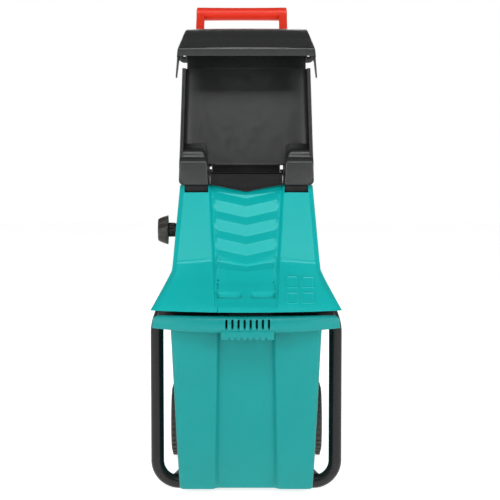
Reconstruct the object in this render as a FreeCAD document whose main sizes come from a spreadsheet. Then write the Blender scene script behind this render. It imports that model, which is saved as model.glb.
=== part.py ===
import FreeCAD, Part
import math
import os

import Sketcher

# A garden shredder: a front feed hopper and hood on a moulded housing, which holds the motor, a
# two-stage gearbox, a toothed cutting drum and its pressure plate. It stands on a tubular frame
# with two wheels at the back, and a pull-out collection bin hangs under the cutting unit.
# Millimetres. X is to the right as the operator faces it, Y to the back, Z up. The origin is on
# the ground under the middle of the machine.

DOC = FreeCAD.newDocument("garden_shredder")
SHEET = DOC.addObject("Spreadsheet::Sheet", "dim")

DIMENSIONS = {
    # tubular frame
    "leg_tube_r": 15.5, "leg_wall": 2.0, "leg_x": 212.5, "leg_y": -191.0, "leg_top_x": 196.0,
    "leg_knee_z": 395.0, "leg_knee_r": 110.0, "foot_r": 52.0, "foot_arch": 4.8,
    "rail_r": 12.5, "rail_wall": 2.0, "rail_front_x": 168.0, "rail_x": 135.0,
    "rail_y": 195.0, "rail_bend_r": 45.0,
    # axle and wheels
    "axle_r": 6.0, "axle_y": 217.0, "axle_z": 95.0, "axle_half": 193.0, "run_gap": 0.05,
    "wheel_r": 95.0, "wheel_in_x": 150.0, "wheel_out_x": 195.0, "rim_r": 68.0, "hub_r": 17.0,
    "hub_out_x": 188.0, "web_t": 6.0, "rim_t": 5.0, "spacer_r": 9.0, "bracket_t": 6.0,
    # base plate
    "plate_z": 440.0, "plate_t": 5.0, "plate_hw": 212.0, "plate_rear_hw": 170.0,
    "plate_front_y": -218.0, "plate_rear_y": 231.7, "tab_t": 4.0, "tab_drop": 22.0,
    "bolt_r": 3.0, "bolt_head_r": 6.5, "bolt_head_t": 4.5,
    # collection bin
    "bin_gap": 0.3, "bin_wall": 3.0, "bin_top_z": 416.0, "bin_apron_z": 10.0,
    "bin_top_hw": 178.5, "bin_low_hw": 157.0, "bin_top_front": -273.0, "bin_low_front": -256.0,
    "bin_top_rear": 112.0, "bin_low_rear": 100.0, "bin_panel_hw": 64.0, "bin_step": 12.0,
    "bin_panel_deep": 14.0, "apron_deep": 26.0, "bin_travel": 460.0,
    "trim_front": -312.0, "trim_end_y": -276.0, "trim_end_x": 208.0, "trim_low_x": 220.0,
    "trim_top_z": 427.0, "trim_low_z": 388.0, "trim_t": 3.0, "grip_hw": 62.0, "grip_low_z": 373.0,
    "slot_pitch": 14.3, "slot_w": 5.2, "slot_low_z": 398.0, "slot_high_z": 421.0,
    # moulded covers
    "shell_t": 3.0, "cover_top_z": 720.0, "crease_z": 540.0, "flare_z": 485.0, "skirt_z": 437.0,
    "top_hw": 163.0, "crease_hw": 176.0, "flare_hw": 199.0, "skirt_hw": 225.0,
    "top_front": -46.0, "crease_front": -176.0, "flare_front": -206.0, "skirt_corner": -262.0,
    "skirt_front": -306.0, "flare_bow": 8.0, "bevel": 13.0, "channel_hw": 88.0,
    "channel_side": 4.0, "channel_deep": 10.0, "parting_y": 30.0, "parting_gap": 0.3,
    "top_part_hw": 162.0, "crease_part_hw": 174.0, "flare_part_hw": 193.0, "skirt_part_hw": 215.0,
    "rear_low_y": 235.0, "rear_top_y": 200.0, "rear_low_hw": 178.0, "rear_top_hw": 150.0,
    # feed hopper
    "seat_gap": 0.3, "hopper_t": 4.0, "hopper_low_hw": 165.5, "hopper_top_hw": 157.5,
    "hopper_top_z": 1006.0, "hopper_low_front": -58.0, "hopper_top_front": -6.0,
    "chute_low_z": 768.0, "chute_low_y": 39.0, "chute_lean": 0.275, "tongue_top_z": 1092.0,
    "tongue_hw": 149.5, "hump_hw": 92.0, "hump_front_z": 783.0, "hump_edge_z": 803.0,
    "hump_back_z": 818.0, "socket_hw": 151.0, "socket_in": 93.6, "socket_deep": 17.0,
    # inlet chute
    "inlet_hw": 88.6, "inlet_front": -59.0, "inlet_rear": 50.0, "inlet_top_z": 751.0,
    "inlet_back_z": 772.0, "inlet_notch_z": 704.0, "inlet_t": 4.0, "inlet_neck_y": -42.0,
    "inlet_low_y": -49.0, "inlet_low_x": -64.0, "inlet_corner": 9.0,
    # hood and carrying handle
    "hood_t": 3.5, "hood_rear_y": 140.0, "hood_back_y": 118.0, "hood_top_z": 1108.0,
    "hood_lip_z": 1055.0, "hood_lip_low_z": 1036.0, "hood_front_y": -15.0, "wing_tip_z": 982.0,
    "hood_top_hw": 151.5, "hood_lip_hw": 168.0, "wing_tip_hw": 175.0, "hood_back_low_z": 1050.0,
    "grip_r": 16.0, "grip_y": 250.0, "grip_z": 1151.0, "grip_half": 117.5, "grip_offset": -12.5,
    "post_w": 22.0, "post_t": 26.0, "post_foot_z": 1078.0,
    "handle_screw_r": 2.5,
    # cutting unit
    "drum_x": 22.0, "drum_z": 590.0, "drum_tip_r": 50.0, "drum_root_r": 37.0, "drum_half": 42.0,
    "shaft_r": 10.0, "chamber_left": -100.0, "chamber_right": 84.0, "chamber_wall": 8.0,
    "chamber_front": -52.0, "chamber_rear": 56.0, "rear_wall": 12.0, "chamber_low_z": 520.0,
    "chamber_top_z": 664.0, "bearing_r": 21.0, "anvil_x": -49.0, "anvil_t": 16.0,
    "anvil_half": 41.5, "anvil_low_z": 552.0, "anvil_top_z": 648.0, "anvil_hole_deep": 12.0,
    # adjusting knob
    "knob_y": -11.0, "knob_z": 607.5, "screw_r": 6.0, "knob_r": 37.0, "knob_in_x": 193.0,
    "knob_out_x": 218.0, "neck_r": 17.0, "neck_in_x": 176.5, "bush_r": 21.0,
    "bush_seat_x": 165.4,
    # gears: module, teeth, width; the drum gear is driven through a lay shaft
    "low_module": 1.75, "high_module": 1.25, "pinion_teeth": 12, "wheel_teeth": 72,
    "gear_w": 12.0, "backlash": 0.3, "lay_angle": 233.1, "motor_angle": -15.0, "lay_r": 8.0,
    "case_rear": 98.0, "case_wall": 6.0, "case_lid": 4.0, "case_left": -82.0,
    "case_right": 100.0, "case_low_z": 476.0, "case_top_z": 664.0,
    # motor
    "motor_r": 63.0, "motor_rear": 216.0, "can_t": 4.0, "stator_in_r": 33.0, "rotor_r": 32.0,
    "core_front": 116.0, "core_rear": 186.0, "motor_shaft_r": 6.0, "fan_r": 52.0,
    # controls at the back
    "panel_left": -138.0, "panel_right": -32.0, "panel_low_z": 452.0, "panel_top_z": 534.0,
    "panel_t": 6.0, "button_w": 24.0, "button_proud": 5.0, "button_gap": 0.5, "button_row_z": 511.0,
    "start_x": -118.0, "stop_x": -87.0, "dial_x": -54.0, "dial_r": 13.0, "low_row_z": 472.0,
    "reset_r": 6.0, "socket_x": -104.0, "socket_w": 44.0, "socket_h": 26.0,
    # what holds the covers down
    "cover_boss_x": 150.0, "cover_boss_y": -191.0, "cover_boss_r": 6.0, "cover_boss_top": 500.0,
    "cover_screw_x": 151.0, "cover_bracket_w": 12.0, "cover_bracket_t": 9.0,
}

for row, (alias, value) in enumerate(DIMENSIONS.items(), start=1):
    SHEET.set(f"A{row}", alias)
    SHEET.set(f"B{row}", str(value))
    SHEET.setAlias(f"B{row}", alias)
DOC.recompute()

X_AXIS = FreeCAD.Vector(1, 0, 0)
Y_AXIS = FreeCAD.Vector(0, 1, 0)
Z_AXIS = FreeCAD.Vector(0, 0, 1)
TURNS = {
    "X": FreeCAD.Rotation(Y_AXIS, 90),
    "Y": FreeCAD.Rotation(X_AXIS, -90),
    "Z": FreeCAD.Rotation(),
}
FINISHED = []


def num(expression):
    """The value of an expression on the sheet, in millimetres."""
    return float(SHEET.evalExpression(expression))


def bind(thing, path, expression):
    """Binds one property of a document object to the sheet."""
    thing.setExpression(path, str(expression))


def finish(label, thing):
    """Names a sub-part: its label is the node's name."""
    thing.Label = label
    FINISHED.append(thing)
    return thing


# ---- PartDesign helpers -------------------------------------------------------------------


def new_body(name):
    return DOC.addObject("PartDesign::Body", name)


def outline(body, name, plane, offset, corners):
    """A closed polygon sketch, each corner held by two driving distances from the origin."""
    sketch = body.newObject("Sketcher::SketchObject", name)
    role = next(o for o in body.Origin.OriginFeatures if o.Role == plane + "_Plane")
    sketch.AttachmentSupport = [(role, "")]
    sketch.MapMode = "FlatFace"
    bind(sketch, "AttachmentOffset.Base.z", offset)
    points = [FreeCAD.Vector(num(x), num(y), 0) for x, y in corners]
    count = len(points)
    for i in range(count):
        sketch.addGeometry(Part.LineSegment(points[i], points[(i + 1) % count]), False)
    for i in range(count):
        sketch.addConstraint(Sketcher.Constraint("Coincident", i, 2, (i + 1) % count, 1))
    for i, (x, y) in enumerate(corners):
        for kind, text, start in (("DistanceX", x, points[i].x), ("DistanceY", y, points[i].y)):
            held = sketch.addConstraint(Sketcher.Constraint(kind, -1, 1, i, 1, start))
            bind(sketch, f"Constraints[{held}]", text)
    return sketch


def rectangle(left, front, right, rear):
    return [(left, front), (right, front), (right, rear), (left, rear)]


def loft(body, name, sections, hollow=False):
    """A ruled loft through polygons on levels of Z, added to the body or cut from it."""
    sketches = [
        outline(body, f"{name}_{i}", "XY", level, corners)
        for i, (level, corners) in enumerate(sections)
    ]
    kind = "SubtractiveLoft" if hollow else "AdditiveLoft"
    feature = body.newObject("PartDesign::" + kind, name)
    feature.Profile = sketches[0]
    feature.Sections = sketches[1:]
    feature.Ruled = True
    return feature


def prism(body, name, plane, corners, length, hollow=False, offset="0", midplane=True):
    """A pad or pocket of a polygon, to both sides of its plane unless told otherwise."""
    sketch = outline(body, name + "_outline", plane, offset, corners)
    feature = body.newObject("PartDesign::" + ("Pocket" if hollow else "Pad"), name)
    feature.Profile = sketch
    feature.Midplane = midplane
    bind(feature, "Length", length)
    return feature


def turned(body, name, corners):
    """A solid of revolution about X, from a half section given as (x, radius)."""
    sketch = outline(body, name + "_section", "XY", "0", corners)
    feature = body.newObject("PartDesign::Revolution", name)
    feature.Profile = sketch
    feature.ReferenceAxis = (sketch, ["H_Axis"])
    feature.Angle = 360
    return feature


# ---- Part helpers -------------------------------------------------------------------------


def box(name, low, high):
    """A block between two corners, each given as three expressions."""
    made = DOC.addObject("Part::Box", name)
    for size, axis, start, end in zip(("Length", "Width", "Height"), "xyz", low, high):
        bind(made, size, f"({end}) - ({start})")
        bind(made, f"Placement.Base.{axis}", start)
    return made


def rod(name, axis, start, radius, length):
    """A cylinder from a start point along X, Y or Z."""
    made = DOC.addObject("Part::Cylinder", name)
    made.Placement = FreeCAD.Placement(FreeCAD.Vector(), TURNS[axis])
    bind(made, "Radius", radius)
    bind(made, "Height", length)
    for letter, value in zip("xyz", start):
        bind(made, f"Placement.Base.{letter}", value)
    return made


def fuse(name, *things):
    made = DOC.addObject("Part::MultiFuse", name)
    made.Shapes = list(things)
    return made


def cut(name, base, *tools):
    made = DOC.addObject("Part::Cut", name)
    made.Base = base
    made.Tool = tools[0] if len(tools) == 1 else fuse(name + "_tools", *tools)
    return made


def both_sides(name, right_hand):
    """A right-hand piece and its mirror image, as one group of separate solids."""
    left_hand = mirrored(name + "_left", right_hand)
    made = DOC.addObject("Part::Compound", name)
    made.Links = [right_hand, left_hand]
    return made


def mirrored(name, right_hand):
    made = DOC.addObject("Part::Mirroring", name)
    made.Source = right_hand
    made.Normal = X_AXIS
    return made


def group(name, *things):
    made = DOC.addObject("Part::Compound", name)
    made.Links = list(things)
    return made


def shape_feature(name, shape):
    made = DOC.addObject("Part::Feature", name)
    made.Shape = shape
    return made


def bent_path(points, radii):
    """A wire of straight runs joined by tangent arcs, one radius for each inner point."""
    edges = []
    start = points[0]
    for before, corner, after, radius in zip(points, points[1:], points[2:], radii):
        into = (corner - before).normalize()
        out = (after - corner).normalize()
        turn = into.getAngle(out)
        reach = radius * math.tan(turn / 2)
        first = corner - into * reach
        last = corner + out * reach
        towards = (out - into).normalize()
        middle = corner + towards * (radius / math.cos(turn / 2) - radius)
        edges.append(Part.LineSegment(start, first).toShape())
        edges.append(Part.Arc(first, middle, last).toShape())
        start = last
    edges.append(Part.LineSegment(start, points[-1]).toShape())
    return Part.Wire(edges)


def swept_disc(path, radius):
    """A solid round bar along a wire."""
    first = path.OrderedEdges[0]
    begin = first.valueAt(first.FirstParameter)
    along = first.tangentAt(first.FirstParameter)
    ring = Part.Wire([Part.makeCircle(radius, begin, along)])
    return path.makePipeShell([ring], True, False)


# ---- tubular frame ------------------------------------------------------------------------


def front_leg_points():
    """The front hoop: down one side, round the foot, across the ground and up the other."""
    radius = num("dim.foot_r")
    arch = num("dim.foot_arch")
    tube = num("dim.leg_tube_r")
    knee_x = num("dim.leg_x")
    along = knee_x - radius
    drop = radius - arch
    slope = math.asin(radius / math.hypot(along, drop)) - math.atan2(drop, along)
    middle_z = tube + arch
    corner_z = middle_z - knee_x * math.tan(slope)
    top_slope = (knee_x - num("dim.leg_top_x")) / num("dim.plate_z - dim.leg_knee_z")
    spare = 20
    half = [
        (num("dim.leg_top_x") - spare * top_slope, num("dim.plate_z") + spare),
        (knee_x, num("dim.leg_knee_z")),
        (knee_x, corner_z),
    ]
    right = [FreeCAD.Vector(x, num("dim.leg_y"), z) for x, z in half]
    left = [FreeCAD.Vector(-v.x, v.y, v.z) for v in reversed(right)]
    return right + [FreeCAD.Vector(0, num("dim.leg_y"), middle_z)] + left


def side_rail_points():
    """A side rail: back along the ground from the front hoop, then up to the base plate."""
    level = num("2*dim.leg_tube_r + dim.foot_arch - dim.rail_r")
    rail_x = num("dim.rail_x")
    return [
        FreeCAD.Vector(num("dim.rail_front_x"), num("dim.leg_y"), level),
        FreeCAD.Vector(rail_x, 0, level),
        FreeCAD.Vector(rail_x, num("dim.rail_y"), level),
        FreeCAD.Vector(rail_x, num("dim.rail_y"), num("dim.plate_z")),
    ]


BOLT_Z = "dim.plate_z - 11"


def bolt_places():
    """Where the frame's tubes are bolted to the plate's tabs: x, y and the tube's radius."""
    return [
        ("dim.leg_top_x + 3", "dim.leg_y", "dim.leg_tube_r"),
        ("-(dim.leg_top_x + 3)", "dim.leg_y", "dim.leg_tube_r"),
        ("dim.rail_x", "dim.rail_y", "dim.rail_r"), ("-dim.rail_x", "dim.rail_y", "dim.rail_r"),
    ]


def frame():
    knee = num("dim.leg_knee_r")
    foot = num("dim.foot_r")
    top_z = num("dim.plate_z")
    above = Part.makeBox(900, 900, 100, FreeCAD.Vector(-450, -450, top_z))
    bolt_starts = [FreeCAD.Vector(num(x), num(f"({y}) - 30"), num(BOLT_Z)) for x, y, _ in bolt_places()]
    bolt_holes = Part.makeCompound([
        Part.makeCylinder(num("dim.bolt_r"), 60, start, Y_AXIS) for start in bolt_starts
    ])
    leg_path = bent_path(front_leg_points(), [knee, foot, 6 * foot, foot, knee])
    leg_bar = swept_disc(leg_path, num("dim.leg_tube_r"))
    leg_bore = swept_disc(leg_path, num("dim.leg_tube_r - dim.leg_wall"))
    leg = leg_bar.cut(leg_bore).cut(above).cut(bolt_holes)
    finish("front_leg", shape_feature("front_leg", leg))

    rail_path = bent_path(side_rail_points(), [4 * knee, num("dim.rail_bend_r")])
    rail_bar = swept_disc(rail_path, num("dim.rail_r"))
    rail_bore = swept_disc(rail_path, num("dim.rail_r - dim.rail_wall"))
    coped = rail_bar.cut(rail_bore).cut(leg_bar).cut(bolt_holes)
    rail_shape = max(coped.Solids, key=lambda solid: solid.Volume)
    rail = finish("side_rail_right", shape_feature("side_rail_right", rail_shape))
    finish("side_rail_left", mirrored("side_rail_left", rail))

    upright = rod("upright_bar", "Z", ("dim.rail_x", "dim.rail_y", "0"), "dim.rail_r", "dim.plate_z")
    cheek = box(
        "axle_cheek",
        ("dim.rail_x - dim.bracket_t/2", "dim.rail_y", "dim.axle_z - 22"),
        ("dim.rail_x + dim.bracket_t/2", "dim.axle_y + 16", "dim.axle_z + 22"),
    )
    hole = rod("axle_hole", "X", ("0", "dim.axle_y", "dim.axle_z"), "dim.axle_r", "dim.axle_half")
    finish("axle_brackets", both_sides("axle_brackets", cut("axle_bracket", cheek, upright, hole)))


# ---- axle and wheels ----------------------------------------------------------------------


def wheels():
    finish(
        "axle",
        rod("axle", "X", ("-dim.axle_half", "dim.axle_y", "dim.axle_z"), "dim.axle_r", "2*dim.axle_half"),
    )
    spacer_in = "dim.rail_x + dim.bracket_t/2"
    spacer_length = f"dim.wheel_in_x - dim.seat_gap - ({spacer_in})"
    start = (spacer_in, "dim.axle_y", "dim.axle_z")
    sleeve = rod("spacer_bar", "X", start, "dim.spacer_r", spacer_length)
    bore = rod("spacer_bore", "X", start, "dim.axle_r", spacer_length)
    finish("axle_spacers", both_sides("axle_spacers", cut("axle_spacer", sleeve, bore)))

    cap_start = ("dim.hub_out_x + dim.seat_gap", "dim.axle_y", "dim.axle_z")
    cap_length = "dim.wheel_out_x - 1 - (dim.hub_out_x + dim.seat_gap)"
    cap = rod("cap_bar", "X", cap_start, "dim.hub_r - 3", cap_length)
    cap_hole = rod(
        "cap_hole", "X", cap_start, "dim.axle_r", "dim.axle_half - (dim.hub_out_x + dim.seat_gap)"
    )
    finish("axle_caps", both_sides("axle_caps", cut("axle_cap", cap, cap_hole)))

    middle = "(dim.wheel_in_x + dim.wheel_out_x)/2"
    rim = new_body("rim")
    turned(rim, "rim_turning", [
        ("dim.wheel_in_x", "dim.axle_r + dim.run_gap"),
        ("dim.hub_out_x", "dim.axle_r + dim.run_gap"),
        ("dim.hub_out_x", "dim.hub_r"),
        (f"{middle} + dim.web_t/2", "dim.hub_r + 3"),
        (f"{middle} + dim.web_t/2", "dim.rim_r - dim.rim_t"),
        ("dim.wheel_out_x - 4", "dim.rim_r - dim.rim_t"),
        ("dim.wheel_out_x - 4", "dim.rim_r"),
        ("dim.wheel_in_x + 4", "dim.rim_r"),
        ("dim.wheel_in_x + 4", "dim.rim_r - dim.rim_t"),
        (f"{middle} - dim.web_t/2", "dim.rim_r - dim.rim_t"),
        (f"{middle} - dim.web_t/2", "dim.hub_r + 3"),
        ("dim.wheel_in_x", "dim.hub_r"),
    ])
    tyre = new_body("tyre")
    turned(tyre, "tyre_turning", [
        ("dim.wheel_in_x + 4", "dim.rim_r"),
        ("dim.wheel_out_x - 4", "dim.rim_r"),
        ("dim.wheel_out_x", "dim.rim_r + 5"),
        ("dim.wheel_out_x", "dim.wheel_r - 9"),
        ("dim.wheel_out_x - 4", "dim.wheel_r - 2.5"),
        ("dim.wheel_out_x - 11", "dim.wheel_r"),
        ("dim.wheel_in_x + 11", "dim.wheel_r"),
        ("dim.wheel_in_x + 4", "dim.wheel_r - 2.5"),
        ("dim.wheel_in_x", "dim.wheel_r - 9"),
        ("dim.wheel_in_x", "dim.rim_r + 5"),
    ])
    for name, body in (("wheel_rim", rim), ("tyre", tyre)):
        bind(body, "Placement.Base.y", "dim.axle_y")
        bind(body, "Placement.Base.z", "dim.axle_z")
        finish(name + "_right", body)
        finish(name + "_left", mirrored(name + "_left", body))


# ---- collection bin -----------------------------------------------------------------------


def bin_section(half, front, rear, inset="0"):
    """The tub in plan: two front pilasters with a recessed panel between them."""
    wide = f"{half} - {inset}"
    face = f"{front} + {inset}"
    panel = f"{front} + dim.bin_panel_deep + {inset}"
    inner = f"dim.bin_panel_hw + {inset}"
    outer = f"dim.bin_panel_hw + dim.bin_step + {inset}"
    back = f"{rear} - {inset}"
    return [
        (f"-({wide})", back), (f"-({wide})", face), (f"-({outer})", face), (f"-({inner})", panel),
        (inner, panel), (outer, face), (wide, face), (wide, back),
    ]


def collection_bin():
    floor_z = "2*dim.leg_tube_r + dim.foot_arch + dim.bin_gap"
    share = "((2*dim.leg_tube_r + dim.foot_arch)/dim.bin_top_z)"
    floor_hw = f"(dim.bin_low_hw + (dim.bin_top_hw - dim.bin_low_hw)*{share})"
    floor_front = f"(dim.bin_low_front + (dim.bin_top_front - dim.bin_low_front)*{share})"
    top = ("dim.bin_top_hw", "dim.bin_top_front", "dim.bin_top_rear")
    low = (floor_hw, floor_front, "dim.bin_low_rear")
    body = new_body("bin_tub")
    loft(body, "tub_outside", [(floor_z, bin_section(*low)), ("dim.bin_top_z", bin_section(*top))])
    loft(body, "tub_inside", [
        (f"{floor_z} + dim.bin_wall", bin_section(*low, inset="dim.bin_wall")),
        ("dim.bin_top_z + 1", bin_section(*top, inset="dim.bin_wall")),
    ], hollow=True)
    # the front wall reaches down past the floor as an apron, in front of the frame's hoop
    apron_rear = f"{floor_front} + dim.apron_deep"
    low_front = "dim.bin_low_front"
    loft(body, "apron", [
        ("dim.bin_apron_z", bin_section("dim.bin_low_hw", low_front, f"{low_front} + dim.apron_deep")),
        (floor_z, bin_section(floor_hw, floor_front, apron_rear)),
    ])
    loft(body, "apron_inside", [
        ("dim.bin_apron_z - 1", bin_section(
            "dim.bin_low_hw", low_front, f"{low_front} + dim.apron_deep + 9", inset="dim.bin_wall")),
        (floor_z, bin_section(floor_hw, floor_front, f"{apron_rear} + 9", inset="dim.bin_wall")),
    ], hollow=True)
    finish("bin_tub", body)

    # the bowed front trim doubles as the pull: a hollow hood over the bin's front edge
    def trim_plan(end_x, grow):
        bow = "(dim.trim_front - dim.trim_end_y)"
        front = [
            (f"{t}*({end_x} - {grow})", f"dim.trim_end_y + {bow}*(1 - {t}*{t}) + {grow}")
            for t in (-1.0, -0.75, -0.5, -0.25, 0.0, 0.25, 0.5, 0.75, 1.0)
        ]
        back = "dim.bin_top_front - 0.3" if grow == "0" else "dim.bin_top_front + 9"
        return [(f"-({end_x} - {grow})", back)] + front + [(f"{end_x} - {grow}", back)]

    trim = new_body("trim_moulding")
    loft(trim, "trim_outside", [
        ("dim.trim_low_z", trim_plan("dim.trim_low_x", "0")),
        ("dim.trim_top_z", trim_plan("dim.trim_end_x", "0")),
    ])
    loft(trim, "trim_inside", [
        ("dim.trim_low_z - 1", trim_plan("dim.trim_low_x", "dim.trim_t")),
        ("dim.trim_top_z - dim.trim_t", trim_plan("dim.trim_end_x", "dim.trim_t")),
    ], hollow=True)
    front_band = "dim.trim_front + 4"
    prism(trim, "grip_drop", "YZ", [
        (front_band, "dim.grip_low_z"), (f"{front_band} + dim.trim_t", "dim.grip_low_z"),
        (f"{front_band} + dim.trim_t", "dim.trim_low_z + 4"), (front_band, "dim.trim_low_z + 4"),
    ], "2*dim.grip_hw")
    slots = [
        box(
            f"grip_slot_{i}",
            (f"{i - 3.5}*dim.slot_pitch - dim.slot_w/2", "dim.trim_front - 5", "dim.slot_low_z"),
            (f"{i - 3.5}*dim.slot_pitch + dim.slot_w/2", "dim.trim_front + 12", "dim.slot_high_z"),
        )
        for i in range(8)
    ]
    bosses = [
        rod(f"trim_boss_{i}", "Y", (x, "dim.trim_front + 20", "dim.trim_top_z - 14"), "5",
            "dim.bin_top_front - (dim.trim_front + 20)")
        for i, x in enumerate(("-150", "-100", "100", "150"))
    ]
    finish("bin_trim", fuse("bin_trim", cut("slotted_trim", trim, *slots), *bosses))


# ---- base plate ---------------------------------------------------------------------------


def chassis():
    plate = new_body("plate_sheet")
    side = "dim.plate_hw"
    prism(plate, "plate_blank", "XY", [
        (f"-{side}", "dim.plate_front_y"), (side, "dim.plate_front_y"), (side, "-150"),
        ("dim.plate_rear_hw", "-40"), ("dim.plate_rear_hw", "dim.plate_rear_y"),
        ("-dim.plate_rear_hw", "dim.plate_rear_y"), ("-dim.plate_rear_hw", "-40"), (f"-{side}", "-150"),
    ], "dim.plate_t", offset="dim.plate_z", midplane=False)
    prism(plate, "discharge_hole", "XY", rectangle(
        "dim.chamber_left + dim.chamber_wall", "dim.chamber_front + dim.chamber_wall",
        "dim.chamber_right - dim.chamber_wall", "dim.chamber_rear - dim.rear_wall",
    ), "3*dim.plate_t", hollow=True, offset="dim.plate_z")
    # folded tabs behind the hoop and in front of the rails, with the bolts that go through both
    tabs = []
    holes = []
    bolts = []
    for i, (x, y, tube) in enumerate(bolt_places()):
        at_front = tube == "dim.leg_tube_r"
        face = f"{y} + {tube}" if at_front else f"{y} - {tube} - dim.tab_t"
        tabs.append(box(
            f"tab_{i}", (f"{x} - 9", face, "dim.plate_z - dim.tab_drop"),
            (f"{x} + 9", f"{face} + dim.tab_t", "dim.plate_z")))
        holes.append(rod(f"tab_hole_{i}", "Y", (x, f"{face} - 1", BOLT_Z), "dim.bolt_r", "dim.tab_t + 2"))
        start = f"{y} - {tube} - dim.bolt_head_t" if at_front else f"{face} - dim.bolt_head_t"
        span = f"2*{tube} + dim.tab_t + 2*dim.bolt_head_t"
        shank = rod(f"bolt_shank_{i}", "Y", (x, start, BOLT_Z), "dim.bolt_r", span)
        head = rod(f"bolt_head_{i}", "Y", (x, start, BOLT_Z), "dim.bolt_head_r", "dim.bolt_head_t")
        nut = rod(f"bolt_nut_{i}", "Y", (x, f"{start} + {span} - dim.bolt_head_t", BOLT_Z),
                  "dim.bolt_head_r", "dim.bolt_head_t")
        bolts.append(fuse(f"bolt_{i}", shank, head, nut))
    finish("base_plate", cut("base_plate", fuse("plate_with_tabs", plate, *tabs), *holes))
    finish("frame_bolts", group("frame_bolts", *bolts))

    # brackets that the rear cover is screwed to
    bracket = box(
        "bracket_bar",
        ("dim.cover_screw_x - dim.cover_bracket_w/2",
         "dim.rear_low_y - dim.shell_t - 0.3 - dim.cover_bracket_t", "dim.plate_z + dim.plate_t"),
        ("dim.cover_screw_x + dim.cover_bracket_w/2", "dim.rear_low_y - dim.shell_t - 0.3",
         "dim.crease_z - 4"),
    )
    pair = both_sides("bracket_bars", bracket)
    finish("cover_brackets", cut("cover_brackets", pair, screw_shanks("bracket_hole")))


# ---- moulded covers -----------------------------------------------------------------------


def front_section(half, part_half, corner, middle, deep, bevel, inset):
    """The front cover in plan at one level, from the parting line round the front and back."""
    side = f"{half} - {inset}"
    edge = f"{half} - {bevel}"
    back = "dim.parting_y" if inset == "0" else "dim.parting_y + 1"
    outer = "dim.channel_hw + dim.channel_side"
    floor = f"{middle} + {deep} + {inset}"
    shift = f"{inset}/2"
    right = [
        (f"dim.channel_hw - {shift}", floor), (f"{outer} - {shift}", f"{middle} + {inset}"),
        (edge, f"{corner} + {inset}"), (side, f"{corner} + {bevel} + {shift}"),
        (f"{part_half} - {inset}", back),
    ]
    left = [(f"-({x})", y) for x, y in reversed(right)]
    return left + right


def rear_section(part_half, half, rear, inset):
    front = "dim.parting_y + dim.parting_gap" if inset == "0" else "dim.parting_y - 1"
    right = [
        (f"{half} - 12 - {inset}/2", f"{rear} - {inset}"), (f"{half} - {inset}", f"{rear} - 12 - {inset}/2"),
        (f"{part_half} - {inset}", front),
    ]
    left = [(f"-({x})", y) for x, y in reversed(right)]
    return left + right


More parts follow.
